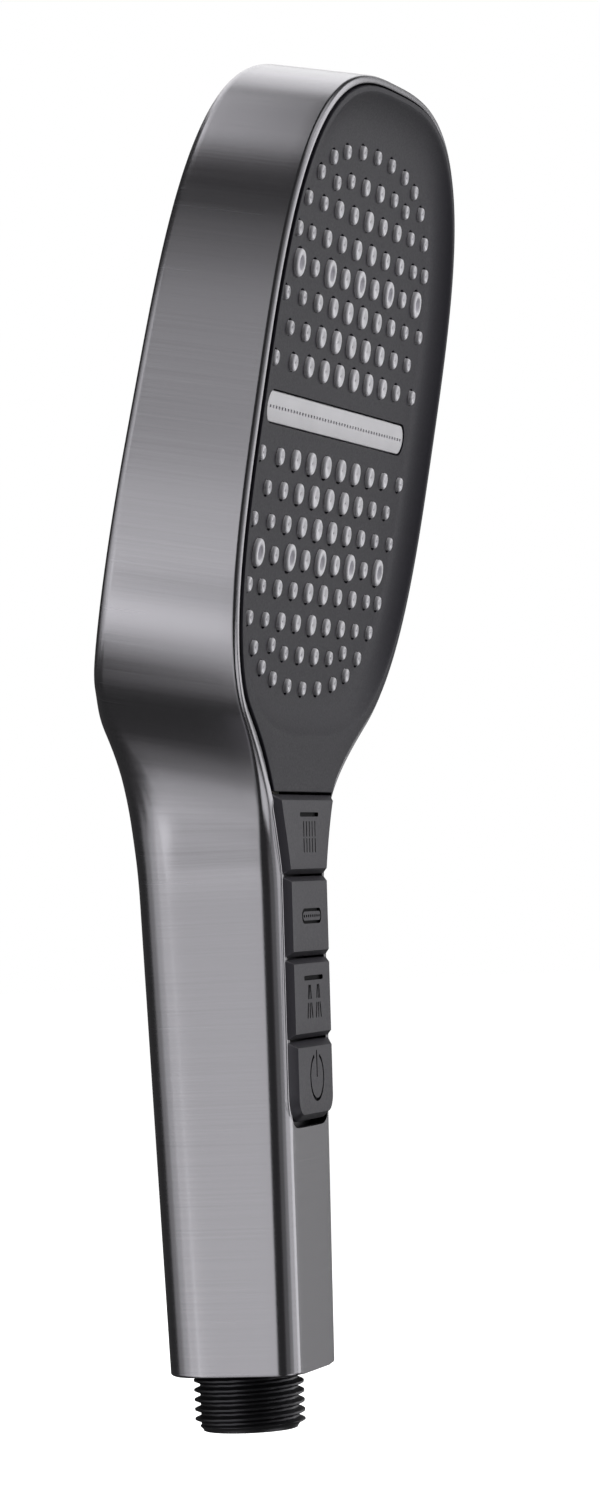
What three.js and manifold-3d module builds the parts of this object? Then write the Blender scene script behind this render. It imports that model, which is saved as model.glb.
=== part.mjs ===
// Handheld shower head with a wide flat spray head, four mode keys on the handle and a G1/2 inlet.
// Millimetres. +Z runs up the handle, -Y is the spray side, and X = 0 is the plane of symmetry.
// The origin is the centre of the inlet thread's end face.
import * as THREE from "three";
import { mergeVertices } from "three/addons/utils/BufferGeometryUtils.js";
import Module from "manifold-3d";

const wasm = await Module();
wasm.setup();

// Clearances and walls
const GAP = 0.3;
const WALL = 2;

// Handle: each face is a value at a height, and how much it changes per millimetre upwards
const HANDLE_END_Z = 11;
const HANDLE_SIDE = { x: 14.95, z: 24, slope: 0.0175 };
const HANDLE_FRONT = { y: -13.7, z: 11, slope: -0.0175 };
const HANDLE_BACK = { y: 13.45, z: 24, slope: 0.016 };

// Neck: the outline's curve between handle and head, and the heights over which the edges and the lean change
const NECK = { lowZ: 100, topV: -57, pullUp: [0.4, 13], pullDown: [-18.7, -11.5] };
const FRONT_RADIUS = { head: 1.1, handle: 3.8, from: 104, to: 134 };
const BACK_RADIUS = { head: 2, handle: 8.8, from: 112, to: 138 };
const LEAN_RANGE = { from: 108, to: 128 };
const FRONT_BEND = 0.5;
const BACK_BEND = 1;

// Head: its lip plane leans towards the spray side
const HEAD_LEAN = THREE.MathUtils.degToRad(11.23);
const LIP_CENTRE = new THREE.Vector3(0, -28.95, 188.7);
const HEAD_HALF_WIDTH = 59.4;
const HEAD_TOP_V = 64.65;
const HEAD_BOTTOM_V = 64.3;
const OVAL_POWER = 3;
const HEAD_BACK = { y: -0.4, z: 173, slope: -0.24 };
const BACK_HOLLOW = { depth: 3.3, z: 141, fade: 12 };
const LIP = { head: 1.5, neck: 2.9, from: 119, to: 138 };

// Face, measured as depth below the lip plane
const COVER_EDGE_DEPTH = 0.9;
const COVER_BACK_DEPTH = 4.6;
const COVER_GAP = 0.35;
const DISH = { halfWidth: 56.4, top: 61.9, bottom: 59.5 };
const DISH_STEPS = [[3, 1.9], [8, 2.6]];
const MAT_SHEET = { front: 4.9, back: 6.1 };
const MAT_OVAL = { halfWidth: 49.8, halfHeight: 54.5 };
const MAT_EDGE_V = 4.6;
const NOZZLE_TIP_DEPTH = 1.9;
const BLADE = { length: 92, width: 5.7, face: 2.85, flangeLength: 95, flangeWidth: 8.4 };
const BLADE_SLOT = { count: 48, pitch: 1.87, length: 0.9, width: 0.65 };

// Keys
const KEY_EDGES_Z = [119.7, 104.3, 88.8, 73.35, 58.9];
const KEY_NAMES = ["rain", "blade", "massage", "pause"];
const KEY_PROUD = 0.9;
const KEY_BEVEL = 1;
const KEY_BACK_Y = -13.5;
const SLOT = { halfWidth: 14, topHalfWidth: 19.9, endZ: 57.4, corner: 6, widening: 1.25 };

// Inlet
const THREAD = { outer: 10.45, root: 9.3, pitch: 1.814, end: 9.6 };
const INLET_BORE = 7;
const NOSE_BORE = 4.4;

const COLOURS = {
  gunmetal: new THREE.MeshStandardMaterial({ color: 0x77767c, roughness: 0.34, metalness: 1 }),
  charcoal: new THREE.MeshStandardMaterial({ color: 0x47464c, roughness: 0.55, metalness: 0 }),
  key: new THREE.MeshStandardMaterial({ color: 0x56555a, roughness: 0.5, metalness: 0 }),
  black: new THREE.MeshStandardMaterial({ color: 0x1c1c1e, roughness: 0.45, metalness: 0 }),
  silicone: new THREE.MeshStandardMaterial({ color: 0xb9b8be, roughness: 0.55, metalness: 0 }),
  blade: new THREE.MeshStandardMaterial({ color: 0xc4c3c9, roughness: 0.4, metalness: 0 }),
  seal: new THREE.MeshStandardMaterial({ color: 0x2a2a2c, roughness: 0.8, metalness: 0 }),
  acetal: new THREE.MeshStandardMaterial({ color: 0xe2e0d8, roughness: 0.5, metalness: 0 }),
  steel: new THREE.MeshStandardMaterial({ color: 0xb8bbc0, roughness: 0.3, metalness: 1 }),
};

const assembly = new THREE.Group();
const headGroup = new THREE.Group();
headGroup.position.copy(LIP_CENTRE);
headGroup.rotation.x = Math.PI / 2 + HEAD_LEAN;
assembly.add(headGroup);

// ---- Solids ----

// A closed geometry as a solid, with its faces turned outwards.
function solidFrom(geometry) {
  const bare = new THREE.BufferGeometry();
  bare.setAttribute("position", geometry.getAttribute("position"));
  bare.setIndex(geometry.index);
  const merged = mergeVertices(bare, 1e-4);
  const triangles = [];
  for (let i = 0; i < merged.index.count; i += 3) {
    const [a, b, c] = [0, 1, 2].map((k) => merged.index.getX(i + k));
    if (a !== b && b !== c && c !== a) triangles.push(a, b, c);
  }
  const vertProperties = merged.attributes.position.array;
  const build = (triVerts) =>
    new wasm.Manifold(new wasm.Mesh({ numProp: 3, vertProperties, triVerts: new Uint32Array(triVerts) }));
  const solid = build(triangles);
  return solid.volume() < 0 ? build(triangles.reverse()) : solid;
}

// A solid as a geometry for a mesh.
function geometryFrom(solid) {
  const { numProp, vertProperties, triVerts } = solid.getMesh();
  const geometry = new THREE.BufferGeometry();
  const positions = new Float32Array((vertProperties.length / numProp) * 3);
  for (let i = 0; i < positions.length / 3; i += 1) {
    for (let k = 0; k < 3; k += 1) positions[3 * i + k] = vertProperties[numProp * i + k];
  }
  geometry.setAttribute("position", new THREE.BufferAttribute(positions, 3));
  geometry.setIndex(new THREE.BufferAttribute(triVerts, 1));
  geometry.computeVertexNormals();
  return geometry;
}

// Adds a named piece to the assembly, or to the group given.
function piece(name, shape, material, group = assembly) {
  const mesh = new THREE.Mesh(shape.isBufferGeometry ? shape : geometryFrom(shape), material);
  mesh.name = name;
  group.add(mesh);
  return mesh;
}

const joined = (solids) => solids.reduce((whole, solid) => whole.add(solid));
const cut = (body, ...tools) => tools.reduce((whole, tool) => whole.subtract(tool), body);

// A regular outline about a point.
function polygon(x, y, radius, sides) {
  const angles = Array.from({ length: sides }, (_, i) => (i * 2 * Math.PI) / sides);
  return angles.map((angle) => [x + radius * Math.cos(angle), y + radius * Math.sin(angle)]);
}

// A box from its lowest and highest corners.
function block(low, high) {
  const size = high.map((value, i) => value - low[i]);
  const geometry = new THREE.BoxGeometry(...size);
  geometry.translate(...low.map((value, i) => value + size[i] / 2));
  return solidFrom(geometry);
}

// A cylinder or cone along an axis, from one coordinate on that axis to another.
function rod(axis, from, to, radius, { at = [0, 0, 0], endRadius = radius, sides = 20 } = {}) {
  const geometry = new THREE.CylinderGeometry(endRadius, radius, Math.abs(to - from), sides);
  const direction = new THREE.Vector3(...axis).multiplyScalar(Math.sign(to - from));
  geometry.applyQuaternion(new THREE.Quaternion().setFromUnitVectors(new THREE.Vector3(0, 1, 0), direction));
  const centre = new THREE.Vector3(...axis).multiplyScalar((from + to) / 2);
  geometry.translate(centre.x + at[0], centre.y + at[1], centre.z + at[2]);
  return solidFrom(geometry);
}

// The turn that takes +Z to another axis.
const turnFromZ = (axis) =>
  new THREE.Quaternion().setFromUnitVectors(new THREE.Vector3(0, 0, 1), new THREE.Vector3(...axis));

// A ring with a round section, about an axis through a point.
function sealRing(axis, centre, radius, section) {
  const geometry = new THREE.TorusGeometry(radius, section, 5, 12);
  geometry.applyQuaternion(turnFromZ(axis));
  geometry.translate(...centre);
  return geometry;
}

// A coil spring along an axis from a start point.
function coil(axis, start, length, radius, wire, turns) {
  class Helix extends THREE.Curve {
    getPoint(t, target = new THREE.Vector3()) {
      const angle = 2 * Math.PI * turns * t;
      return target.set(radius * Math.cos(angle), radius * Math.sin(angle), wire + (length - 2 * wire) * t);
    }
  }
  const section = new THREE.Shape(polygon(0, 0, wire, 5).map(([x, y]) => new THREE.Vector2(x, y)));
  const steps = Math.round(8 * turns);
  const geometry = new THREE.ExtrudeGeometry(section, { steps, extrudePath: new Helix() });
  geometry.applyQuaternion(turnFromZ(axis));
  geometry.translate(...start);
  return geometryFrom(solidFrom(geometry));
}

// A closed outline extruded between two heights along Z.
function prism(points, low, high, holes = []) {
  const shape = new THREE.Shape(points.map(([x, y]) => new THREE.Vector2(x, y)));
  shape.holes = holes.map((hole) => new THREE.Path(hole.map(([x, y]) => new THREE.Vector2(x, y))));
  const geometry = new THREE.ExtrudeGeometry(shape, { depth: high - low, bevelEnabled: false });
  geometry.translate(0, 0, low);
  return solidFrom(geometry);
}

// The same outline in the XZ plane, extruded between two Y values.
function prismAlongY(points, lowY, highY) {
  const shape = new THREE.Shape(points.map(([x, z]) => new THREE.Vector2(x, z)));
  const geometry = new THREE.ExtrudeGeometry(shape, { depth: highY - lowY, bevelEnabled: false });
  geometry.rotateX(Math.PI / 2);
  geometry.translate(0, highY, 0);
  return solidFrom(geometry);
}

// ---- Form of the casing ----

// The lower of two lines, rounded where they meet.
const roundedMin = (a, b, k) => -k * Math.log(Math.exp(-a / k) + Math.exp(-b / k));
const ease = (from, to, z) => THREE.MathUtils.smoothstep(z, from, to);
const planeAt = (plane, z) => plane.y + plane.slope * (z - plane.z);

// Y of the front surface: the handle's plane, then the head's lip plane.
function frontY(z) {
  const head = { y: LIP_CENTRE.y, z: LIP_CENTRE.z, slope: -Math.tan(HEAD_LEAN) };
  return roundedMin(planeAt(HANDLE_FRONT, z), planeAt(head, z), FRONT_BEND);
}

// Y of the back surface: the handle's plane, then the head's back with its hollow above the neck.
function backY(z) {
  const hollow = BACK_HOLLOW.depth * Math.exp(-(z - BACK_HOLLOW.z) / BACK_HOLLOW.fade);
  return roundedMin(planeAt(HANDLE_BACK, z), planeAt(HEAD_BACK, z) + hollow, BACK_BEND);
}

// Direction from the front surface to the back: straight back in the handle, square to the lip in the head.
function depthDirection(z) {
  const lean = HEAD_LEAN * ease(LEAN_RANGE.from, LEAN_RANGE.to, z);
  return new THREE.Vector3(0, Math.cos(lean), Math.sin(lean));
}

// Stations along the right-hand outline, each with its inward and depth directions and its depth.
// The depth is where the depth direction meets the back surface, found by repeated steps from a first guess.
function railFrom(points) {
  const [firstGuess, turns] = [25, 8];
  const place = ([x, z]) => new THREE.Vector3(x, frontY(z), z);
  return points.map(([x, z], i) => {
    const mirror = ([px, pz]) => [-px, pz];
    const before = points[i - 1] ?? (x === 0 ? mirror(points[1]) : points[0]);
    const after = points[i + 1] ?? (x === 0 ? mirror(points[i - 1]) : points[i]);
    const into = depthDirection(z);
    const along = place(after).sub(place(before));
    const inward = along.cross(into).normalize();
    const point = place([x, z]);
    let depth = firstGuess;
    for (let turn = 0; turn < turns; turn += 1) depth = (backY(point.z + depth * into.z) - point.y) / into.y;
    return { point, inward, into, depth, z };
  });
}

// The rail moved inwards by an amount that may change along it.
function insetRail(rail, insetAt) {
  return rail.map((station) => ({
    ...station,
    point: station.point.clone().addScaledVector(station.inward, insetAt(station.z)),
  }));
}

// A solid over a rail. Each ring is [inset, depth]; the first and last are closed straight across.
function loft(rail, ringsAt) {
  const positions = [];
  const sections = rail.map((station) => {
    const right = ringsAt(station).map(([inset, depth]) =>
      station.point.clone().addScaledVector(station.inward, inset).addScaledVector(station.into, depth));
    const left = right.map((p) => new THREE.Vector3(-p.x, p.y, p.z));
    return { right, left };
  });
  const triangle = (a, b, c) => positions.push(...a, ...b, ...c);
  const quad = (a, b, c, d) => {
    triangle(a, b, c);
    triangle(a, c, d);
  };
  const rings = sections[0].right.length;
  for (let i = 0; i + 1 < sections.length; i += 1) {
    const [low, high] = [sections[i], sections[i + 1]];
    for (let j = 0; j + 1 < rings; j += 1) {
      quad(low.right[j], high.right[j], high.right[j + 1], low.right[j + 1]);
      quad(low.left[j], low.left[j + 1], high.left[j + 1], high.left[j]);
    }
    quad(low.right[0], low.left[0], high.left[0], high.right[0]);
    const last = rings - 1;
    quad(low.right[last], high.right[last], high.left[last], low.left[last]);
  }
  for (const [section, flip] of [[sections[0], false], [sections.at(-1), true]]) {
    for (let j = 0; j + 1 < rings; j += 1) {
      const corners = [section.right[j], section.right[j + 1], section.left[j + 1], section.left[j]];
      quad(...(flip ? corners.reverse() : corners));
    }
  }
  const geometry = new THREE.BufferGeometry();
  geometry.setAttribute("position", new THREE.Float32BufferAttribute(positions, 3));
  return solidFrom(geometry);
}

// Half of an oval with a shape between an ellipse and a rectangle, from the angle given up to its top.
function ovalPoints(halfWidth, top, bottom, steps, fromAngle = -Math.PI / 2) {
  return Array.from({ length: steps + 1 }, (_, i) => {
    const angle = fromAngle + ((Math.PI / 2 - fromAngle) * i) / steps;
    const [c, s] = [Math.abs(Math.cos(angle)), Math.sin(angle)];
    const atEnd = i === steps || (i === 0 && fromAngle === -Math.PI / 2);
    const u = atEnd ? 0 : halfWidth * c ** (2 / OVAL_POWER);
    return [u, Math.sign(s) * (s > 0 ? top : bottom) * Math.abs(s) ** (2 / OVAL_POWER)];
  });
}

// A full oval as an outline.
function oval(halfWidth, top, bottom, steps) {
  const half = ovalPoints(halfWidth, top, bottom, steps);
  return [...half, ...half.slice(1, -1).reverse().map(([u, v]) => [-u, v])];
}

const lipZ = (v) => LIP_CENTRE.z + Math.cos(HEAD_LEAN) * v;
const handleHalfWidth = (z) => HANDLE_SIDE.x + HANDLE_SIDE.slope * (z - HANDLE_SIDE.z);

// The casing's right-hand outline seen from the front: handle, concave neck, oval head.
function outlinePoints() {
  const handle = [-3, 30, 60, 85].map((z) => [handleHalfWidth(z), z]);
  const neckAngle = -Math.asin((-NECK.topV / HEAD_BOTTOM_V) ** (OVAL_POWER / 2));
  const head = ovalPoints(HEAD_HALF_WIDTH, HEAD_TOP_V, HEAD_BOTTOM_V, 20, neckAngle)
    .map(([u, v]) => [u, lipZ(v)]);
  const low = new THREE.Vector2(handleHalfWidth(NECK.lowZ), NECK.lowZ);
  const high = new THREE.Vector2(...head[0]);
  const pulled = (end, [x, z]) => new THREE.Vector2(end.x + x, end.y + z);
  const neck = new THREE.CubicBezierCurve(low, pulled(low, NECK.pullUp), pulled(high, NECK.pullDown), high);
  return [...handle, ...neck.getPoints(9).map((p) => [p.x, p.y]), ...head.slice(1)];
}

const outerRail = railFrom(outlinePoints());
const blended = ({ handle, head, from, to }, z) => handle + (head - handle) * ease(from, to, z);

// Rings of the casing from its front face round its edges to its back face, less a wall thickness.
function casingRings({ z, depth }, wall = 0) {
  const [leastFront, leastBack] = [0.4, 0.8];
  const front = Math.max(blended(FRONT_RADIUS, z) - wall, leastFront);
  const back = Math.max(blended(BACK_RADIUS, z) - wall, leastBack);
  const angles = [0, 1, 2, 3].map((i) => (i * Math.PI) / 6);
  return [
    ...angles.map((a) => [wall + front * (1 - Math.sin(a)), wall + front * (1 - Math.cos(a))]),
    ...angles.map((a) => [wall + back * (1 - Math.cos(a)), depth - wall - back * (1 - Math.sin(a))]),
  ];
}

// Half width of the opening for the keys.
function slotHalfWidth(z) {
  const [, keyLow] = KEY_EDGES_Z;
  const rise = THREE.MathUtils.clamp((z - keyLow) / (KEY_EDGES_Z[0] - keyLow), 0, 1);
  return SLOT.halfWidth + (SLOT.topHalfWidth - SLOT.halfWidth) * rise ** SLOT.widening;
}

// Opening for the face: its edge is the lip, which is wider at the neck.
const OPENING_LOW_Z = 116;
const lipWidth = (z) => LIP.neck + (LIP.head - LIP.neck) * ease(LIP.from, LIP.to, z);
const openingRail = insetRail(outerRail.filter((station) => station.z > OPENING_LOW_Z), lipWidth);

// The key opening's outline, drawn in by a clearance, between two heights.
function slotOutline(low, high, clearance, roundedEnd) {
  const [steps, cornerSteps] = [6, 5];
  const side = Array.from({ length: steps + 1 }, (_, i) => {
    const z = low + ((high - low) * i) / steps;
    return [slotHalfWidth(z) - clearance, z];
  });
  const right = roundedEnd ? side.filter(([, z]) => z > low + SLOT.corner) : side;
  if (roundedEnd) {
    const radius = SLOT.corner - clearance;
    const corner = Array.from({ length: cornerSteps + 1 }, (_, i) => {
      const angle = -Math.PI / 2 + (i * Math.PI) / (2 * cornerSteps);
      const centreX = SLOT.halfWidth - clearance - radius;
      return [centreX + radius * Math.cos(angle), low + radius * (1 + Math.sin(angle))];
    });
    right.unshift(...corner);
  }
  return [...right, ...right.map(([x, z]) => [-x, z]).reverse()];
}

function rearShell() {
  const outer = loft(outerRail, (station) => casingRings(station));
  const hollow = loft(outerRail, (station) => casingRings(station, WALL));
  const keySlot = prismAlongY(slotOutline(SLOT.endZ, KEY_EDGES_Z[0] + GAP, 0, true), -25, -11);
  const faceOpening = loft(openingRail, () => [[0, -5], [0, 5]]);
  const belowHandle = block([-40, -40, -20], [40, 40, HANDLE_END_Z]);
  piece("rear_shell", cut(outer, hollow, keySlot, faceOpening, belowHandle), COLOURS.gunmetal);
}

// ---- Face ----

// Nozzles of one half of the face: [u, distance from the strip, radius], nearest row first.
function nozzles() {
  const rowPitch = 5.963;
  const firstRow = 8.65;
  const columnPitch = 10;
  const radii = [[2.15, 2.1, 1.95, 1.6, 1.4], [2.15, 2.15, 1.95, 1.6, 1.35], [2.1, 1.9, 1.65, 1.35, 1.3],
    [2.6, 1.95, 2.6, 1.6, 2.6], [1.9, 1.6, 1.65, 1.35, 1.4], [1.95, 1.65, 1.65, 1.35, 1.35]];
  const outermost = [46.5, 40, 45.5, 40, 43.3, 40];
  const rows = radii.flatMap((row, i) => row.map((radius, k) => {
    const u = k === row.length - 1 ? outermost[i] : columnPitch * (k + (i % 2 === 0 ? 0.5 : 0));
    return [u, firstRow + rowPitch * i, radius];
  }));
  const arc = [[5, 44.3, 1.6], [15, 44.3, 1.35], [23.8, 43, 1.35], [34.5, 43.8, 1.35],
    [0, 50.6, 1.35], [10, 50.3, 1.35], [20, 49.2, 1.35], [28, 47.3, 1.35]];
  return [...rows, ...arc].flatMap(([u, v, radius]) =>
    (u === 0 ? [[u, v, radius]] : [[u, v, radius], [-u, v, radius]]));
}

const NOZZLE_SIDES = 5;
const RING_RADIUS = 2.6;
const RING_HOLE = 1.4;

// A bar with rounded ends, centred on the strip.
function bar(length, width, steps = 4) {
  const radius = width / 2 - 0.01;
  const half = Array.from({ length: steps + 1 }, (_, i) => {
    const angle = -Math.PI / 2 + (i * Math.PI) / steps;
    return [length / 2 - radius + radius * Math.cos(angle), (width / 2) * Math.sin(angle)];
  });
  return [...half, ...half.map(([u, v]) => [-u, v]).reverse()];
}

const SCREW_PLACES = [[51.4, 22], [51.4, -22], [-51.4, 22], [-51.4, -22]];
const SCREW = { shaft: 1, clearance: 1.3, head: 2, boss: 1.95 };

function frontCover() {
  const rail = insetRail(openingRail, () => COVER_GAP);
  const plate = loft(rail, () => [[0, COVER_EDGE_DEPTH], [0, COVER_BACK_DEPTH]]);
  const belowNeck = block([-60, -60, 90], [60, 60, KEY_EDGES_Z[0] + GAP]);
  const dishOutline = ovalPoints(DISH.halfWidth, DISH.top, DISH.bottom, 26).map(([u, v]) => [u, lipZ(v)]);
  const dishRail = railFrom(dishOutline)
    .map((station) => ({ ...station, into: depthDirection(LIP_CENTRE.z) }));
  const dish = loft(dishRail, () => [[0, -2], [0, COVER_EDGE_DEPTH], ...DISH_STEPS]);
  const holes = [1, -1].flatMap((side) =>
    nozzles().map(([u, v, radius]) => polygon(u, side * v, radius + GAP, NOZZLE_SIDES)));
  const perforation = joined([...holes, bar(BLADE.length + 2 * GAP, BLADE.width + 2 * GAP)]
    .map((hole) => prism(hole, -COVER_BACK_DEPTH - 1, 0)));
  const toHead = (solid) => solidFrom(geometryFrom(solid).applyMatrix4(headMatrix));
  const bosses = SCREW_PLACES.map(([u, v]) => cut(
    rod([0, 0, 1], -COVER_BACK_DEPTH + 0.5, -7.4, SCREW.boss, { at: [u, v, 0], sides: 12 }),
    rod([0, 0, 1], -5.2, -8, SCREW.clearance, { at: [u, v, 0], sides: 8 }),
  ));
  const body = cut(plate, belowNeck, dish, toHead(perforation));
  piece("front_cover", joined([body, ...bosses.map(toHead)]), COLOURS.charcoal);
}

function nozzleMats() {
  const sheetOutline = oval(MAT_OVAL.halfWidth, MAT_OVAL.halfHeight, MAT_OVAL.halfHeight, 20);
  for (const [name, side] of [["upper_nozzle_mat", 1], ["lower_nozzle_mat", -1]]) {
    const half = block([-60, side > 0 ? MAT_EDGE_V : -60, -20], [60, side > 0 ? 60 : -MAT_EDGE_V, 0]);
    const sheet = prism(sheetOutline, -MAT_SHEET.back, -MAT_SHEET.front).intersect(half);
    const studs = nozzles().map(([u, v, radius]) =>
      prism(polygon(u, side * v, radius, NOZZLE_SIDES), -MAT_SHEET.back + 0.8, -NOZZLE_TIP_DEPTH));
    const bores = nozzles().filter(([, , radius]) => radius === RING_RADIUS)
      .map(([u, v]) => prism(polygon(u, side * v, RING_HOLE, NOZZLE_SIDES), -10, 0));
    piece(name, cut(joined([sheet, ...studs]), ...bores), COLOURS.silicone, headGroup);
  }
}

function bladeInsert() {
  const [halfLength, halfWidth] = [BLADE_SLOT.length / 2, BLADE_SLOT.width / 2];
  const slots = Array.from({ length: BLADE_SLOT.count }, (_, i) => {
    const u = (i - (BLADE_SLOT.count - 1) / 2) * BLADE_SLOT.pitch;
    return block([u - halfLength, -halfWidth, -10], [u + halfLength, halfWidth, 0]);
  });
  const face = prism(bar(BLADE.length, BLADE.width), -MAT_SHEET.front - 0.2, -BLADE.face);
  const flange = prism(bar(BLADE.flangeLength, BLADE.flangeWidth), -MAT_SHEET.back, -MAT_SHEET.front);
  piece("blade_insert", cut(face.add(flange), ...slots), COLOURS.blade, headGroup);
}

// ---- Water chamber behind the face ----

// Heights here are along the face's outward normal from the lip plane, so they are negative inside the head.
const CHAMBER = { front: -7.7, back: -17.5, halfWidth: 55, halfHeight: 59.5 };
const ROOMS = { back: -12, halfWidth: 47.3, halfHeight: 51.8, spans: [[5.2, 60], [-3.2, 3.2], [-60, -5.2]] };
const GASKET = { front: -6.4, back: -7.4, width: 2, ribV: 4.2, ribHalf: 0.8 };

// Each duct takes water from a tube at the neck up to the room that it feeds.
const DUCTS = [
  { name: "rain_tube", u: -9, reach: 12 },
  { name: "massage_tube", u: 0, reach: -45 },
  { name: "blade_tube", u: 9, reach: 0 },
];
const DUCT = { level: -14.7, bore: 2.2, socket: 3.8, socketEnd: -55.5, riser: 1.9 };
const TUBE = { outer: 3.5, bore: 2.4, from: -69.5, to: -56 };

function sprayChamber() {
  const { front, back, halfWidth, halfHeight } = CHAMBER;
  const slab = prism(oval(halfWidth, halfHeight, halfHeight, 18), back, front);
  const roomOval = oval(ROOMS.halfWidth, ROOMS.halfHeight, ROOMS.halfHeight, 16);
  const rooms = ROOMS.spans.map(([low, high]) =>
    prism(roomOval, ROOMS.back, front + 1).intersect(block([-60, low, -20], [60, high, 0])));
  const entry = -halfHeight - 2.5;
  const ducts = DUCTS.flatMap(({ u, reach }) => [
    rod([0, 1, 0], entry, reach, DUCT.bore, { at: [u, 0, DUCT.level], sides: 12 }),
    rod([0, 1, 0], entry, DUCT.socketEnd, DUCT.socket, { at: [u, 0, DUCT.level], sides: 12 }),
    rod([0, 0, 1], DUCT.level, ROOMS.back + 1, DUCT.riser, { at: [u, reach - DUCT.riser, 0], sides: 12 }),
  ]);
  const screwHoles = SCREW_PLACES.map(([u, v]) =>
    rod([0, 0, 1], back - 2.5, 0, SCREW.clearance, { at: [u, v, 0], sides: 8 }));
  const seatRadius = SCREW.boss + 0.35;
  const bossSeats = SCREW_PLACES.map(([u, v]) =>
    rod([0, 0, 1], front + 0.7, front - GAP, seatRadius, { at: [u, v, 0], sides: 12 }));
  const body = cut(slab, ...rooms, ...ducts, ...screwHoles, ...bossSeats);
  piece("spray_chamber", body, COLOURS.acetal, headGroup);
}

function chamberGasket() {
  const inner = [ROOMS.halfWidth + 0.1, ROOMS.halfHeight + 0.1];
  const [outerOval, innerOval] = [GASKET.width, 0].map((width) =>
    oval(inner[0] + width, inner[1] + width, inner[1] + width, 14));
  const ring = prism(outerOval, GASKET.back, GASKET.front, [innerOval]);
  const reach = inner[0] + 0.6;
  const ribs = [GASKET.ribV, -GASKET.ribV].map((v) =>
    block([-reach, v - GASKET.ribHalf, GASKET.back], [reach, v + GASKET.ribHalf, GASKET.front]));
  piece("chamber_gasket", joined([ring, ...ribs]), COLOURS.seal, headGroup);
}

function chamberScrews() {
  const seat = CHAMBER.back - GAP;
  const top = seat - 1.5;
  SCREW_PLACES.forEach(([u, v], i) => {
    const shaft = rod([0, 0, 1], seat, -5.6, SCREW.shaft, { at: [u, v, 0], sides: 8 });
    const head = rod([0, 0, 1], seat, top, SCREW.head, { at: [u, v, 0], sides: 10 });
    const recess = block([u - 1.2, v - 0.3, top - 1], [u + 1.2, v + 0.3, top + 0.7]);
    piece("chamber_screw_" + (i + 1), cut(joined([shaft, head]), recess), COLOURS.steel, headGroup);
  });
}

function feedTubes() {
  for (const { name, u } of DUCTS) {
    const tube = rod([0, 1, 0], TUBE.from, TUBE.to, TUBE.outer, { at: [u, 0, DUCT.level], sides: 14 });
    const bore = rod([0, 1, 0], TUBE.from - 1, TUBE.to + 1, TUBE.bore, { at: [u, 0, DUCT.level], sides: 12 });
    piece(name, cut(tube, bore), COLOURS.acetal, headGroup);
  }
}

// ---- Keys and valve ----

const VALVE = { halfWidth: 12.6, front: -7.5, back: 9.5, low: 54, high: 121.5 };
const BORE_RADIUS = 3.3;
const PLUNGER = { radius: 2.6, front: -8.6, back: 1.5 };
const SPRING_END_Y = 8;
const FRAME = { front: -11, back: -9.4, low: 50.4, high: 119 };
const SLIDE = { front: -9.1, back: -7.8, low: 58, high: 118, halfWidth: 6, travel: 1.2 };
const POST_HALF = 2.1;
const WINDOW_HALF = 3.2;
const KEY_SLIT = 0.4;
const keyCentres = KEY_NAMES.map((_, i) => (KEY_EDGES_Z[i] + KEY_EDGES_Z[i + 1]) / 2);
const FRAME_SCREWS = [[-9.4, 66], [9.4, 66], [-9.4, 111], [9.4, 111]];

// A bevelled key cap that fills its stretch of the opening, with the post that pushes its plunger.
function keyCap(index) {
  const [high, low] = [KEY_EDGES_Z[index] - KEY_SLIT / 2, KEY_EDGES_Z[index + 1] + KEY_SLIT / 2];
  const outline = slotOutline(low, high, GAP, index === KEY_NAMES.length - 1);
  const centre = [0, (low + high) / 2];
  const shape = (inset) => outline.map(([x, z], i) => {
    const before = outline[(i + outline.length - 1) % outline.length];
    const after = outline[(i + 1) % outline.length];
    const [a, b] = [before, after].map(([px, pz], k) =>
      new THREE.Vector2(k ? px - x : x - px, k ? pz - z : z - pz).normalize());
    const normal = new THREE.Vector2(-a.y - b.y, a.x + b.x);
    const inward = normal.dot(new THREE.Vector2(centre[0] - x, centre[1] - z)) > 0 ? 1 : -1;
    normal.normalize().multiplyScalar((inward * inset) / Math.sqrt((1 + a.dot(b)) / 2));
    return [x + normal.x, z + normal.y];
  });
  const layers = [
    shape(0).map(([x, z]) => [x, KEY_BACK_Y, z]),
    shape(0).map(([x, z]) => [x, frontY(z) - KEY_PROUD + KEY_BEVEL, z]),
    shape(KEY_BEVEL).map(([x, z]) => [x, frontY(z) - KEY_PROUD, z]),
  ];
  const positions = [];
  const count = outline.length;
  for (let layer = 0; layer + 1 < layers.length; layer += 1) {
    for (let i = 0; i < count; i += 1) {
      const next = (i + 1) % count;
      const [a, b] = [layers[layer][i], layers[layer][next]];
      const [c, d] = [layers[layer + 1][next], layers[layer + 1][i]];
      positions.push(...a, ...b, ...c, ...a, ...c, ...d);
    }
  }
  const faces = THREE.ShapeUtils.triangulateShape(outline.map(([x, z]) => new THREE.Vector2(x, z)), []);
  const turned = THREE.ShapeUtils.isClockWise(outline.map(([x, z]) => new THREE.Vector2(x, z)));
  for (const [a, b, c] of faces) {
    const [back, front] = [layers[0], layers.at(-1)];
    const order = turned ? [a, b, c] : [c, b, a];
    positions.push(...order.flatMap((i) => back[i]));
    positions.push(...order.reverse().flatMap((i) => front[i]));
  }
  const geometry = new THREE.BufferGeometry();
  geometry.setAttribute("position", new THREE.Float32BufferAttribute(positions, 3));
  const centreZ = keyCentres[index];
  const post = block(
    [-POST_HALF, KEY_BACK_Y - 0.5, centreZ - POST_HALF],
    [POST_HALF, PLUNGER.front - GAP, centreZ + POST_HALF],
  );
  return solidFrom(geometry).add(post);
}

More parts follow.
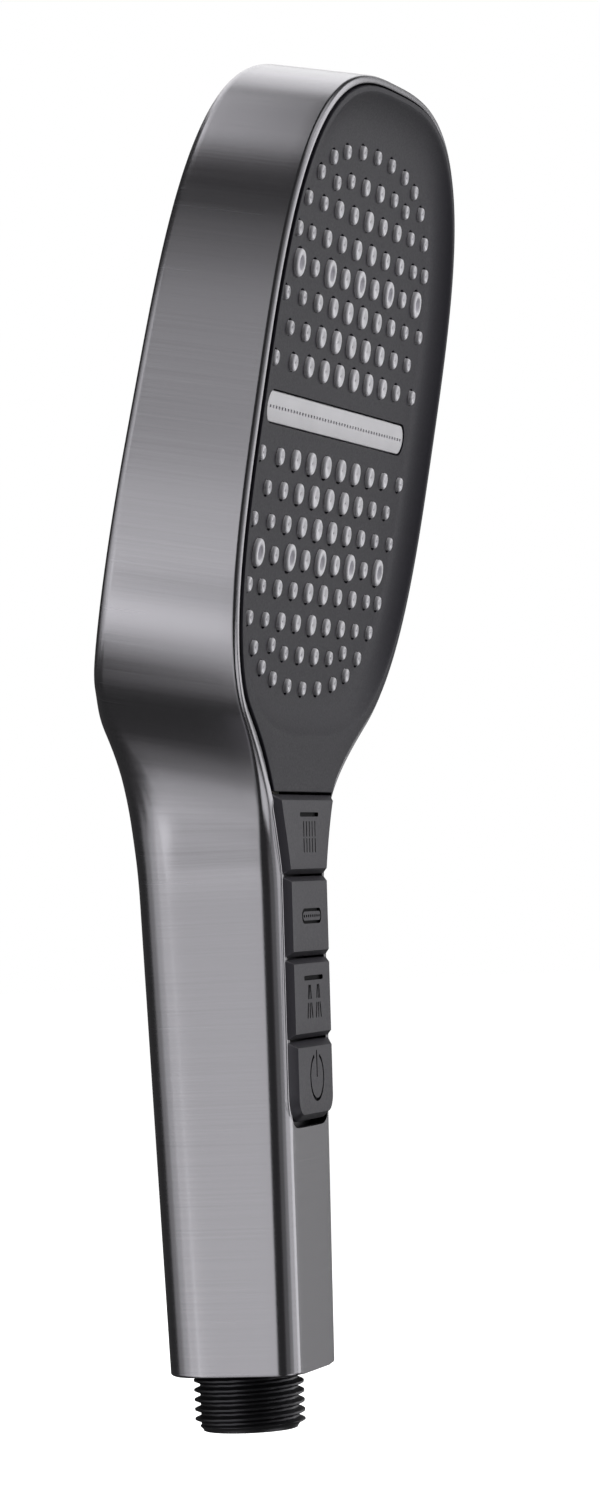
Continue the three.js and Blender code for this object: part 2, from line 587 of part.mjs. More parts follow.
function keysAndPlungers() {
  KEY_NAMES.forEach((name, i) => {
    const z = keyCentres[i];
    piece("key_" + name, keyCap(i), COLOURS.key);
    const stem = rod([0, 1, 0], PLUNGER.front, PLUNGER.back, PLUNGER.radius, { at: [0, 0, z], sides: 12 });
    const waist = cut(
      rod([0, 1, 0], -4.4, -2.8, 4, { at: [0, 0, z], sides: 12 }),
      rod([0, 1, 0], -5, -2, 1.8, { at: [0, 0, z], sides: 12 }),
    );
    piece(name + "_plunger", cut(stem, waist), COLOURS.acetal);
    piece(name + "_seal", sealRing([0, 1, 0], [0, -3.6, z], 2.5, 0.45), COLOURS.seal);
    const springStart = PLUNGER.back + GAP;
    const spring = coil([0, 1, 0], [0, springStart, z], SPRING_END_Y - springStart, 2.1, 0.35, 4);
    piece(name + "_spring", spring, COLOURS.steel);
  });
}

function keyFrame() {
  const outline = [[-12.4, FRAME.low + 8], [-7, FRAME.low], [7, FRAME.low], [12.4, FRAME.low + 8],
    [12.4, FRAME.high], [-12.4, FRAME.high]];
  const plate = prismAlongY(outline, FRAME.front, FRAME.back);
  const foot = block([-3, FRAME.back - 0.5, FRAME.low], [3, -6.9, FRAME.low + 1.5]);
  const windows = keyCentres.map((z) =>
    block([-WINDOW_HALF, -15, z - WINDOW_HALF], [WINDOW_HALF, -5, z + WINDOW_HALF]));
  const screwHoles = FRAME_SCREWS.flatMap(([x, z]) => [
    rod([0, 1, 0], -12, -10.05, 2.2, { at: [x, 0, z], sides: 12 }),
    rod([0, 1, 0], -12, -5, 1.3, { at: [x, 0, z], sides: 8 }),
  ]);
  piece("key_frame", cut(joined([plate, foot]), ...windows, ...screwHoles), COLOURS.black);
  FRAME_SCREWS.forEach(([x, z], i) => {
    const head = rod([0, 1, 0], -11, -10.3, 1.9, { at: [x, 0, z], sides: 10 });
    const shaft = rod([0, 1, 0], -10.5, -3, 1, { at: [x, 0, z], sides: 8 });
    piece("frame_screw_" + (i + 1), joined([head, shaft]), COLOURS.steel);
  });
}

function interlock() {
  const { front, back, low, high, halfWidth, travel } = SLIDE;
  const plate = block([-halfWidth, front, low], [halfWidth, back, high]);
  const windows = keyCentres.map((z) =>
    block([-WINDOW_HALF, -12, z - WINDOW_HALF], [WINDOW_HALF, -5, z + WINDOW_HALF + travel]));
  piece("interlock_slide", cut(plate, ...windows), COLOURS.acetal);
  const [start, end] = [FRAME.low + 1.8, SLIDE.low - GAP];
  piece("interlock_spring", coil([0, 0, 1], [0, -8.4, start], end - start, 0.65, 0.18, 4), COLOURS.steel);
}

function valveBlock() {
  const { halfWidth, front, back, low, high } = VALVE;
  const right = [[halfWidth, front], [halfWidth, 3], [9, back]];
  const body = prism([...right, ...right.map(([x, y]) => [-x, y]).reverse()], low, high);
  const bores = keyCentres.map((z) =>
    rod([0, 1, 0], front - 1, SPRING_END_Y + GAP, BORE_RADIUS, { at: [0, 0, z], sides: 12 }));
  const gallery = rod([0, 0, 1], low - 1, 116, 2, { at: [4.6, 3.4, 0], sides: 12 });
  const inlet = rod([0, 0, 1], low - 1, low + 4, 4.9, { sides: 16 });
  const sockets = DUCTS.map(({ u }) => rod([0, 0, 1], 117.5, high + 1, 4.3, { at: [u, -1.9, 0], sides: 12 }));
  const outlets = DUCTS.map(({ u }, i) => {
    const level = keyCentres[[0, 2, 1][i]];
    return rod([0, 0, 1], level, 118, 1.8, { at: [u, -1.9, 0], sides: 10 });
  });
  const crossings = [[-9, 0], [9, 1]].map(([u, i]) =>
    rod([1, 0, 0], 0, u, 1.5, { at: [0, -1.9, keyCentres[i]], sides: 10 }));
  const bosses = FRAME_SCREWS.map(([x, z]) =>
    rod([0, 1, 0], FRAME.back + GAP, front + 1, 2.2, { at: [x, 0, z], sides: 12 }));
  const screwHoles = FRAME_SCREWS.map(([x, z]) =>
    rod([0, 1, 0], -10, -2.4, SCREW.clearance, { at: [x, 0, z], sides: 8 }));
  const whole = joined([body, ...bosses]);
  const waterways = [...bores, gallery, inlet, ...sockets, ...outlets, ...crossings];
  piece("valve_block", cut(whole, ...waterways, ...screwHoles), COLOURS.acetal);
}

// ---- Inlet ----

// A turned part with a screw thread: rings of points round the axis, the thread as a wave of radius.
function threadedBody() {
  const rowHeight = THREAD.pitch / 4;
  const rows = Math.floor(THREAD.end / rowHeight);
  const sides = 16;
  const column = (angle) => {
    const points = [];
    for (let row = 0; row <= rows; row += 1) {
      const z = row * rowHeight;
      const phase = (z / THREAD.pitch - angle / (2 * Math.PI)) * 2 * Math.PI;
      const wave = THREE.MathUtils.clamp(0.5 + 0.75 * Math.cos(phase), 0, 1);
      const [leadIn, runOut] = [THREAD.root + z + 0.1, THREAD.root + 0.05 + (THREAD.end - z) * 0.9];
      const crest = Math.min(THREAD.outer, leadIn, runOut);
      points.push([THREAD.root + Math.max(crest - THREAD.root, 0) * wave, z]);
    }
    points.push([THREAD.root, 14.4], [11.2, 14.4], [11.2, 17.5], [9.6, 17.5], [9.6, 35], [6, 35], [6, 40]);
    points.push([NOSE_BORE, 40], [NOSE_BORE, 34], [INLET_BORE, 34], [INLET_BORE, 0]);
    return points;
  };
  const columns = Array.from({ length: sides }, (_, i) => {
    const angle = (i * 2 * Math.PI) / sides;
    return column(angle).map(([r, z]) => [r * Math.cos(angle), r * Math.sin(angle), z]);
  });
  const positions = [];
  const count = columns[0].length;
  columns.forEach((here, i) => {
    const next = columns[(i + 1) % sides];
    for (let j = 0; j < count; j += 1) {
      const k = (j + 1) % count;
      positions.push(...here[j], ...next[j], ...next[k], ...here[j], ...next[k], ...here[k]);
    }
  });
  const geometry = new THREE.BufferGeometry();
  geometry.setAttribute("position", new THREE.Float32BufferAttribute(positions, 3));
  return solidFrom(geometry);
}

// A turned ring or plug from its closed profile of [radius, z].
function turned(profile, sides = 20) {
  const points = [...profile, profile[0]].map(([r, z]) => new THREE.Vector2(r, z));
  const geometry = new THREE.LatheGeometry(points, sides);
  geometry.rotateX(Math.PI / 2);
  return solidFrom(geometry);
}

function inlet() {
  piece("inlet_connector", threadedBody(), COLOURS.black);

  const capRail = outerRail.slice(0, 2);
  const plug = loft(capRail, (station) => casingRings(station, WALL + GAP));
  const slice = block([-40, -40, HANDLE_END_Z + 0.5], [40, 40, HANDLE_END_Z + 3]);
  piece("handle_end_cap", cut(plug.intersect(slice), rod([0, 0, 1], 0, 30, 9.65)), COLOURS.black);

  piece("inlet_seal", sealRing([0, 0, 1], [0, 0, 37.4], 6.75, 0.45), COLOURS.seal);
  const nut = turned([[7.4, 36], [9, 36], [9, 42], [7.4, 42]]);
  const socket = turned([[3.3, 40.4], [9, 40.4], [9, 43.5], [4.5, 43.5], [4.5, 57.4], [3.3, 57.4]]);
  piece("supply_tube", nut.add(socket), COLOURS.acetal);

  const meshHoles = [-1, 0, 1].flatMap((i) => [-1, 0, 1].map((k) =>
    block([2.6 * i - 0.9, 2.6 * k - 0.9, 6], [2.6 * i + 0.9, 2.6 * k + 0.9, 8])));
  piece("filter_screen", cut(prism(polygon(0, 0, 6.6, 18), 6.5, 7.6), ...meshHoles), COLOURS.steel);
  piece("flow_restrictor", prism(polygon(0, 0, 6.6, 18), 8, 11, [polygon(0, 0, 1.6, 10)]), COLOURS.acetal);

  const seat = turned([[3.1, 14], [6.6, 14], [6.6, 29.5], [5.4, 29.5], [5.4, 16], [3.1, 16]]);
  const bridge = cut(block([-5.8, -1.2, 27.6], [5.8, 1.2, 29.4]), rod([0, 0, 1], 26, 31, 1.2, { sides: 12 }));
  piece("check_valve_body", seat.add(bridge), COLOURS.acetal);
  const poppet = joined([
    rod([0, 0, 1], 16.3, 18.3, 4.3, { endRadius: 3.4 }),
    rod([0, 0, 1], 18, 28.5, 0.9, { sides: 10 }),
  ]);
  piece("check_valve_poppet", poppet, COLOURS.acetal);
  piece("check_valve_spring", coil([0, 0, 1], [0, 0, 18.6], 8.7, 2, 0.35, 4), COLOURS.steel);
}

headGroup.updateMatrixWorld(true);
const headMatrix = headGroup.matrixWorld.clone();

rearShell();
frontCover();
nozzleMats();
bladeInsert();
sprayChamber();
chamberGasket();
chamberScrews();
feedTubes();
keysAndPlungers();
keyFrame();
interlock();
valveBlock();
inlet();

export default assembly;
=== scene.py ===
import math
from functools import partial

import bmesh
import bpy
import numpy as np
from mathutils import Matrix, Vector
from mathutils.geometry import delaunay_2d_cdt
from mathutils.kdtree import KDTree


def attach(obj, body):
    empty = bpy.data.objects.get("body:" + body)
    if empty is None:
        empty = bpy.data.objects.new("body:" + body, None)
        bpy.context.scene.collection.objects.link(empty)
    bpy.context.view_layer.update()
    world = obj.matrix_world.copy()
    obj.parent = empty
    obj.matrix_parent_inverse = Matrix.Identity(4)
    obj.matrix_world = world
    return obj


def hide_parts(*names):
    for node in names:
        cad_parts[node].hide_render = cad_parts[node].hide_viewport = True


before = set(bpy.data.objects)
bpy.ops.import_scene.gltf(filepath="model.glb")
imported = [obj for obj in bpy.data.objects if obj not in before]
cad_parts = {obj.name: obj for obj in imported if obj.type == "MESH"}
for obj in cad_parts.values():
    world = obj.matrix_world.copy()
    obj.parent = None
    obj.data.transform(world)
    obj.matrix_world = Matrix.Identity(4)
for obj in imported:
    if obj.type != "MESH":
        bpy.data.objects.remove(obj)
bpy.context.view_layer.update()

MM = 0.001
MERGE_DISTANCE = 0.002
SHORTEST_EDGE = 0.0005
TRIANGLES_INSIDE, TRIANGLE_TOLERANCE = 1, 1e-5
QUARTER_TURN = (0, 30, 60, 90)

WALL = 2.0
INNER_CORNER = 0.8
GAP = 0.3

# Handle: each face is a value at a height, and how much it changes per millimetre upwards
HANDLE_END_Z = 11.0
HANDLE_SIDE = (14.95, 24.0, 0.0175)
HANDLE_FRONT = (-13.7, 11.0, -0.0175)
HANDLE_BACK = (13.45, 24.0, 0.016)
END_ROUND = 0.55

# Neck: its outline is one curve with a pull at each end.
# Low and high are the heights over which a size changes.
NECK_LOW_Z = 100.0
NECK_TOP_V = -57.0
NECK_PULL_UP = (0.2275, 13.0)
NECK_PULL_DOWN = (-18.7, -11.5)
FRONT_RADIUS = {"head": 1.1, "handle": 3.8, "low": 104.0, "high": 134.0}
BACK_RADIUS = {"head": 2.3, "handle": 11.0, "low": 112.0, "high": 138.0}
BACK_POWER = 2.5
LEAN_RANGE = (108.0, 128.0)
FRONT_BEND = 0.5
BACK_BEND = 1.0

# Head
HEAD_LEAN = math.radians(11.23)
LIP_CENTRE = Vector((0.0, -28.95, 188.7))
HEAD_HALF_WIDTH = 59.4
HEAD_TOP_V = 64.65
HEAD_BOTTOM_V = 64.3
OVAL_POWER = 3.0
HEAD_BACK = (-0.4, 173.0, -0.24)
BACK_HOLLOW = {"depth": 3.3, "z": 141.0, "fade": 12.0}
LIP = {"head": 1.5, "neck": 2.9, "low": 119.0, "high": 138.0}
LIP_EDGE = 0.22
NECK_WALL = {"depth": 5, "low": 116, "high": 124}

# Face: depths are below the lip plane
COVER_GAP = 0.35
COVER_FRONT = -0.45
COVER_BACK = 4.6
RIM_ROUND = 0.3
BEND = {"half_width": 20, "across": 2, "start": 0.8, "end_z": 127.0, "up": 0.5, "margin": 0.4}
DISH = {"half_width": 56.4, "top": 61.9, "bottom": 59.5, "slope_width": 8.4, "floor": 2.6, "easing": 2.2}
SLOPE_STEPS = 15
SLOPE_CROWDING = 1.4
HOLE_OFFSET = 0.15
EDGE_STEP = 0.1
MAT_FRONT, MAT_BACK = 4.9, 6.1
MAT_HALF_WIDTH, MAT_HALF_HEIGHT = 49.8, 54.5
MAT_EDGE_V = 4.6
NOZZLE_TIP = 1.85
NOZZLE_EDGE = 0.42
RING = {"radius": 2.6, "hole": 1.4, "depth": 1.6}
JET = {"radius": 0.27, "depth": 1.3}
DIMPLE_SHARE = 0.62
STRIP = {"length": 92.0, "width": 5.7, "face": 2.75, "edge": 0.3, "flange": 8.4, "flange_length": 95.0}
STRIP_SLOTS = {"count": 48, "pitch": 1.87, "length": 0.95, "width": 0.62, "depth": 1.2}

# Keys and their opening. The last key is larger than the first three, and stands further out.
KEY_EDGES_Z = (119.7, 104.3, 88.8, 73.35, 58.9)
KEY_NAMES = ("rain", "blade", "massage", "pause")
KEY_PROUD = {"first": 1.2, "last": 1.36}
KEY_BEVEL = {"first": 1.95, "last": 2.5}
KEY_EDGE = 0.12
KEY_FOOT_DEPTH = 0.1
KEY_CORNER = 0.4
KEY_SLIT = 0.4
KEY_FOOT_GAP = 1.2
KEY_END_SHARE = 0.5
KEY_BACK_Y = -13.5
POST_HALF = 2.1
POST_END_Y = -8.9
SLOT = {"half": 14.0, "top_half": 19.9, "low": 56.9, "corner": 6.0, "widening": 1.25}
ICON_DEPTH = 0.6
ICON_SHIFT = 0.8

# How finely the casing is divided: points on its outline, stations along it, and rows across it
CURVE_POINTS, OVAL_POINTS = 400, 3000
STATIONS = {"step": 1.1, "end": 6, "end_length": 1.5, "corner": 40}
ROWS = {"lip": (0, 0.25, 0.55, 1), "front": 6, "front_round": 8, "side": 9, "back_round": 12, "back": 15}
# Beside this stretch of the outline, the key opening's edge runs from the centre line round its lower corner
CORNER_STRETCH = (52.0, SLOT["low"] + SLOT["corner"])
# The opening widens to meet the lip with this power of the way up
LIP_JOIN_POWER = 6
# The back's rows take up the side's last row over this share of the way to the centre line
BACK_JOIN_SHARE = 1 / 6
# The depth to the back is found by starting from a guess and repeating
FIRST_DEPTH, DEPTH_ROUNDS = 25.0, 12

# Inlet: the thread, the rest of the connector, and the plug round it
THREAD = {"outer": 10.45, "root": 9.3, "pitch": 1.814, "low": 0.7, "high": 11.45,
          "fade_in": 0.7, "fade_out": 0.5}
THREAD_SIDES = 120
THREAD_STEPS = 18
THREAD_STEEPNESS = 0.62
# Profiles as radius and height: the bore and the nose below the thread, then the shoulder and tube above it
CONNECTOR_NOSE = ((7.0, 34), (7.0, 0.5), (7.35, 0), (8.7, 0), (8.92, 0.08), (9.0, 0.3))
CONNECTOR_TUBE = ((9.3, 14.4), (11.2, 14.4), (11.2, 17.5), (9.6, 17.5), (9.6, 35), (6, 35), (6, 40),
                  (4.4, 40), (4.4, 34), (7.0, 34))
PLUG = {"low": 0.5, "high": 3.0, "edge": 0.25, "hole": 9.65}

# Materials
NOISE_RANGE = (0.3, 0.7)
COOL = (0.92, 0.9, 1.0, 1)
BLOTCH_SCALE = 90
BRUSH_SCALES = ((5200, 12, 1), (2100, 8, 1))
BRUSHING = {"tint": 0.07, "gloss": 0.03, "depth": 0.00000035}
DRAWING = {"scale": 4000, "tint": 0.1, "gloss": 0.06}

# Camera: azimuth, elevation and roll in degrees, a target and a distance in millimetres
VIEW = {"angles": (-73.53, -1.55, -2.63), "target": (0, -15.8, 127.7), "distance": 968.1}
LENS = {"length": 122.45, "sensor": 36, "nearest": 0.05}

# Surroundings, in metres
GLOW = 0.06
FLOOR = {"z": -0.03, "half": 6.0, "glow": 1.0, "grey": 0.85}
PANEL_CENTRE = (0, 0, 0.15)
PANEL_DISTANCE = 0.9
# Each panel light: azimuth and elevation in degrees, radiance, width and height
PANELS = (
    (108, 35, 1.6, 0.5, 0.34),
    (120, 56, 1.6, 0.6, 0.34),
    (-178, 76, 1.2, 0.6, 0.34),
    (-138, 68, 0.8, 0.5, 0.2),
    (-109, 27, 0.27, 0.5, 0.3),
    (-106, 9, 0.68, 0.5, 0.34),
    (-106, -10, 1.25, 0.5, 0.34),
    (-108, -27, 0.75, 0.5, 0.34),
    (-112, -43, 0.8, 0.5, 0.34),
    (-120, -60, 0.85, 0.5, 0.34),
    (-155, -74, 0.35, 0.5, 0.4),
    (-130, -12, 1.3, 0.3, 1.2),
    (-148, -12, 0.95, 0.3, 1.2),
    (-167, -5, 0.45, 0.3, 0.9),
    (-32, 5, 0.2, 0.4, 1.2),
    (-8, 5, 0.5, 0.35, 1.2),
    (18, 5, 1.2, 0.5, 1.2),
    (50, 5, 1.7, 0.5, 1.2),
    (80, 0, 0.29, 0.4, 1.2),
    (5, 52, 0.9, 0.6, 0.5),
    (5, -52, 1.6, 0.6, 0.5),
)


# ---- Meshes ----

class Surface:
    """Faces of one mesh, gathered from grids and regions, with a finish and a place on the brushing map."""

    def __init__(self):
        self.points, self.faces, self.brush, self.finishes = [], [], [], []

    def add(self, points, faces, brush=None, finish=0, mirror=False):
        points = np.asarray(points, float).reshape(-1, 3)
        brush = points[:, [2, 0]] if brush is None else np.asarray(brush, float).reshape(-1, 2)
        for side in ((1, -1) if mirror else (1,)):
            start = sum(len(p) for p in self.points)
            self.points.append(points * (side, 1, 1))
            self.brush.append(brush * (1, side))
            self.faces += [[start + i for i in face][::side] for face in faces]
            self.finishes += [finish] * len(faces)

    def grid(self, rows, closed=False, skip=None, **more):
        """Quads over rows of points; closed joins each row's end to its start."""
        rows = np.asarray(rows, float)
        n, m = rows.shape[:2]
        last = m if closed else m - 1
        faces = [
            (i * m + j, (i + 1) * m + j, (i + 1) * m + (j + 1) % m, i * m + (j + 1) % m)
            for i in range(n - 1) for j in range(last)
            if skip is None or not skip(i, j)
        ]
        self.add(rows.reshape(-1, 3), faces, **more)

    def region(self, loops, place, inner=(), **more):
        """The flat region inside an odd number of 2D loops, put in space by a function of its points."""
        points, faces = triangles_between(loops, inner)
        self.add(place(points), faces, **more)

    def cap(self, ring, **more):
        """A fan that closes a ring of points."""
        ring = np.asarray(ring, float)
        count = len(ring)
        faces = [(i, (i + 1) % count, count) for i in range(count)]
        self.add(np.vstack([ring, ring.mean(0)]), faces, **more)

    def build(self, name, materials, stands_for, body="housing", smooth_below=32, bevelled=False):
        """Makes the gathered faces one piece on its body, merging equal points and facing outwards."""
        points = np.vstack(self.points) * MM
        brush = np.vstack(self.brush) * MM
        mesh = bpy.data.meshes.new(name)
        mesh.from_pydata(points.tolist(), [], self.faces)
        corners = np.zeros(len(mesh.loops), np.int32)
        mesh.loops.foreach_get("vertex_index", corners)
        mesh.uv_layers.new(name="brush").data.foreach_set("uv", brush[corners].astype(np.float32).ravel())
        mesh.polygons.foreach_set("material_index", np.array(self.finishes, np.int32))
        work = bmesh.new()
        work.from_mesh(mesh)
        bmesh.ops.remove_doubles(work, verts=work.verts, dist=MERGE_DISTANCE * MM)
        bmesh.ops.dissolve_degenerate(work, edges=work.edges, dist=SHORTEST_EDGE * MM)
        bmesh.ops.recalc_face_normals(work, faces=work.faces)
        work.to_mesh(mesh)
        work.free()
        mesh.shade_smooth()
        mesh.set_sharp_from_angle(angle=math.radians(smooth_below))
        piece = bpy.data.objects.new(name, mesh)
        bpy.context.scene.collection.objects.link(piece)
        for material in materials:
            mesh.materials.append(material)
        if bevelled:
            normals = piece.modifiers.new("even_shading", "WEIGHTED_NORMAL")
            normals.keep_sharp = True
        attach(piece, body)
        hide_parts(*stands_for)


def inside_count(points, loop):
    """Whether each point is inside a closed 2D loop, as 0 or 1."""
    x, y = points[:, :1], points[:, 1:]
    a, b = np.asarray(loop), np.roll(np.asarray(loop), -1, axis=0)
    spans = (a[:, 1] > y) != (b[:, 1] > y)
    rise = np.where(b[:, 1] == a[:, 1], 1.0, b[:, 1] - a[:, 1])
    crossing = a[:, 0] + (y - a[:, 1]) * (b[:, 0] - a[:, 0]) / rise
    return (spans & (x < crossing)).sum(1) % 2


def triangles_between(loops, inner=()):
    """Triangles of the region inside an odd number of closed loops."""
    corners, edges = [], []
    for loop in loops:
        start, count = len(corners), len(loop)
        corners += [Vector(p) for p in loop]
        edges += [(start + i, start + (i + 1) % count) for i in range(count)]
    corners += [Vector(p) for p in inner]
    points, _, faces, *_ = delaunay_2d_cdt(
        corners, edges, [], TRIANGLES_INSIDE, TRIANGLE_TOLERANCE)
    points = np.array([p[:] for p in points])
    faces = np.array(faces)
    middles = points[faces].mean(1)
    kept = sum(inside_count(middles, loop) for loop in loops) % 2 == 1
    return points, [tuple(face) for face in faces[kept].tolist()]


def circle(x, y, radius, sides=24):
    """Points round a centre, anticlockwise."""
    angles = np.linspace(0, 2 * np.pi, sides, endpoint=False)
    return np.stack([x + radius * np.cos(angles), y + radius * np.sin(angles)], 1)


def bar(length, width, x=0.0, y=0.0, steps=8):
    """A bar with half-round ends about a point."""
    angles = np.linspace(-math.pi / 2, math.pi / 2, 2 * steps + 1)
    end = np.stack([(length - width) / 2 + width / 2 * np.cos(angles), width / 2 * np.sin(angles)], 1)
    return np.vstack([end, -end]) + (x, y)


def smooth_step(low, high, z):
    """A share that eases from 0 at the low end to 1 at the high end."""
    t = np.clip((np.asarray(z, float) - low) / (high - low), 0, 1)
    return t * t * (3 - 2 * t)


# ---- Form of the casing ----

def plane_at(plane, z):
    """The value at a height of a plane given as (value, height, slope)."""
    value, at, slope = plane
    return value + slope * (z - at)


def rounded_min(a, b, k):
    """The lower of two lines, rounded where they meet."""
    return -k * np.logaddexp(-a / k, -b / k)


def front_y(z):
    """The front surface: the handle's front below, the leaning lip plane above."""
    head = (LIP_CENTRE.y, LIP_CENTRE.z, -math.tan(HEAD_LEAN))
    return rounded_min(plane_at(HANDLE_FRONT, z), plane_at(head, z), FRONT_BEND)


def back_y(z):
    """The back surface, hollowed where the handle meets the head."""
    hollow = BACK_HOLLOW["depth"] * np.exp(-(z - BACK_HOLLOW["z"]) / BACK_HOLLOW["fade"])
    return rounded_min(plane_at(HANDLE_BACK, z), plane_at(HEAD_BACK, z) + hollow, BACK_BEND)


def depth_direction(z):
    """Straight back in the handle, square to the lip plane in the head."""
    lean = HEAD_LEAN * smooth_step(*LEAN_RANGE, z)
    return np.stack([np.zeros_like(lean), np.cos(lean), np.sin(lean)], -1)


def lip_z(v):
    """The height of a face coordinate on the lip plane."""
    return LIP_CENTRE.z + math.cos(HEAD_LEAN) * v


def on_front(x, z, depth):
    """A point at a depth below the front surface."""
    x, z = np.broadcast_arrays(np.asarray(x, float), np.asarray(z, float))
    depth = np.asarray(depth, float)[..., None]
    return np.stack([x, front_y(z), z], -1) + depth * depth_direction(z)


def under_front(points, depth):
    """2D points, across and up, at a depth below the front surface."""
    return on_front(*points.T, np.full(len(points), float(depth)))


def seen_from_front(points):
    """Face coordinates, centred on the spray strip, as points across and up."""
    return np.stack([points[:, 0], lip_z(points[:, 1])], 1)


def on_face(points, depth):
    """Face coordinates at a depth below the lip plane."""
    return under_front(seen_from_front(points), depth)


def level(points, z):
    """2D points on a horizontal plane."""
    return np.column_stack([points, np.full(len(points), z)])


def upright(points, y):
    """2D points, across and up, on a plane that faces the front."""
    return np.stack([points[:, 0], np.full(len(points), y), points[:, 1]], 1)


def half_oval(half_width, top, bottom, steps, low_angle=-math.pi / 2):
    """The right half of an oval between an ellipse and a rectangle, up to its top."""
    angles = np.linspace(low_angle, math.pi / 2, steps)
    c, s = np.maximum(np.cos(angles), 0), np.sin(angles)
    u = half_width * c ** (2 / OVAL_POWER)
    v = np.sign(s) * np.where(s > 0, top, bottom) * np.abs(s) ** (2 / OVAL_POWER)
    u[-1] = 0
    if low_angle == -math.pi / 2:
        u[0] = 0
    return np.stack([u, v], 1)


def along(points):
    """Distance along a line of points."""
    return np.concatenate([[0], np.cumsum(np.linalg.norm(np.diff(points, axis=0), axis=1))])


def spaced(points, step):
    """The same line with points a step apart."""
    distance = along(points)
    marks = np.linspace(0, distance[-1], max(int(distance[-1] / step), 2) + 1)
    return np.stack([np.interp(marks, distance, column) for column in points.T], 1)


def mirrored_loop(half):
    """A closed loop from its right half, which runs from the bottom to the top on the centre line."""
    return np.vstack([half, half[-2:0:-1] * (-1, 1)])


def casing_outline():
    """The casing's right-hand outline seen from the front, densely: handle, concave neck, oval head."""
    side = [(plane_at(HANDLE_SIDE, z), z) for z in (HANDLE_END_Z, NECK_LOW_Z)]
    neck_angle = -math.asin((-NECK_TOP_V / HEAD_BOTTOM_V) ** (OVAL_POWER / 2))
    head = half_oval(HEAD_HALF_WIDTH, HEAD_TOP_V, HEAD_BOTTOM_V, OVAL_POINTS, neck_angle)
    head[:, 1] = lip_z(head[:, 1])
    low, high = np.array(side[1]), head[0]
    t = np.linspace(0, 1, CURVE_POINTS)[1:-1, None]
    neck = ((1 - t) ** 3 * low + 3 * (1 - t) ** 2 * t * (low + NECK_PULL_UP)
            + 3 * (1 - t) * t ** 2 * (high + NECK_PULL_DOWN) + t ** 3 * high)
    handle = np.linspace(side[0], side[1], CURVE_POINTS)
    return np.vstack([handle, neck, head])


class Rail:
    """Stations up the casing's right side, with inward and depth directions and the depth to the back."""

    def __init__(self, marks):
        outline = casing_outline()
        distance = along(outline)
        self.s = marks
        x, z = (np.interp(self.s, distance, column) for column in outline.T)
        place = np.stack([x, front_y(z), z], 1)
        dense = np.stack([outline[:, 0], front_y(outline[:, 1]), outline[:, 1]], 1)
        heading = np.gradient(dense, distance, axis=0)
        heading[-1] = (-1, 0, 0)
        heading = np.stack([np.interp(self.s, distance, column) for column in heading.T], 1)
        self.point, self.z = place, z
        self.into = depth_direction(z)
        inward = np.cross(heading, self.into)
        self.inward = inward / np.linalg.norm(inward, axis=1, keepdims=True)
        self.depth = np.full(len(z), FIRST_DEPTH)
        for _ in range(DEPTH_ROUNDS):
            reach = place[:, 2] + self.depth * self.into[:, 2]
            self.depth = (back_y(reach) - place[:, 1]) / self.into[:, 1]

    def at(self, inset, depth):
        inset, depth = np.broadcast_to(inset, self.z.shape), np.broadcast_to(depth, self.z.shape)
        return self.point + inset[:, None] * self.inward + depth[:, None] * self.into


def blended(sizes, z, below="handle"):
    """A size that changes between the handle or neck and the head."""
    return sizes[below] + (sizes["head"] - sizes[below]) * smooth_step(sizes["low"], sizes["high"], z)


def slot_half_width(z):
    """Half the width of the keys' opening, which widens beside the top key."""
    low, high = KEY_EDGES_Z[1], KEY_EDGES_Z[0]
    rise = np.clip((z - low) / (high - low), 0, 1)
    return SLOT["half"] + (SLOT["top_half"] - SLOT["half"]) * rise ** SLOT["widening"]


def lip_width(z):
    return blended(LIP, z, "neck")


# ---- Casing ----

def casing_marks():
    """Stations along the outline: even ones, and closer ones at the rounded end and the opening's corners."""
    length = along(casing_outline())[-1]
    end = END_ROUND * (1 - np.cos(np.linspace(0, math.pi / 2, STATIONS["end"])))
    corner_low, corner_high = (z - HANDLE_END_Z for z in CORNER_STRETCH)
    even = np.linspace(0, length, int(length / STATIONS["step"]))
    even = even[(even > STATIONS["end_length"]) & ~((even > corner_low) & (even < corner_high))]
    corner = np.linspace(corner_low, corner_high, STATIONS["corner"])
    return np.unique(np.concatenate([end, even, corner]).round(4))


def opening_edge(rail):
    """The inner edge of the casing's front for each station: centre line, key opening, then the lip."""
    low, high = CORNER_STRETCH
    flat = SLOT["half"] - SLOT["corner"]
    arc = np.linspace(-math.pi / 2, 0, 60)
    corner = np.stack([flat + SLOT["corner"] * np.cos(arc), high + SLOT["corner"] * np.sin(arc)], 1)
    path = np.vstack([(0, SLOT["low"]), corner])
    path_marks = along(path) / along(path)[-1]
    lip = rail.at(lip_width(rail.z), 0)
    join = int(np.argmax(lip[:, 2] > KEY_EDGES_Z[0] + GAP))
    edge = np.zeros((len(rail.z), 2))
    stretch = (SLOT["low"] - HANDLE_END_Z) / (low - HANDLE_END_Z)
    for i, z in enumerate(rail.z):
        if z <= low:
            edge[i] = 0, HANDLE_END_Z + (z - HANDLE_END_Z) * stretch
        elif z < high:
            mark = (z - low) / (high - low)
            edge[i] = [np.interp(mark, path_marks, column) for column in path.T]
        elif i < join:
            share = (z - high) / (rail.z[join] - high)
            height = high + share * (lip[join, 2] - high)
            widen = (lip[join, 0] - slot_half_width(lip[join, 2])) * share ** LIP_JOIN_POWER
            edge[i] = slot_half_width(height) + widen, height
        else:
            edge[i] = lip[i, 0], lip[i, 2]
    return edge


def end_round(z):
    """How far the handle's end is drawn in by its rounded edge."""
    rise = np.clip(z - HANDLE_END_Z, 0, END_ROUND)
    return END_ROUND - np.sqrt(np.maximum(END_ROUND ** 2 - (END_ROUND - rise) ** 2, 0))


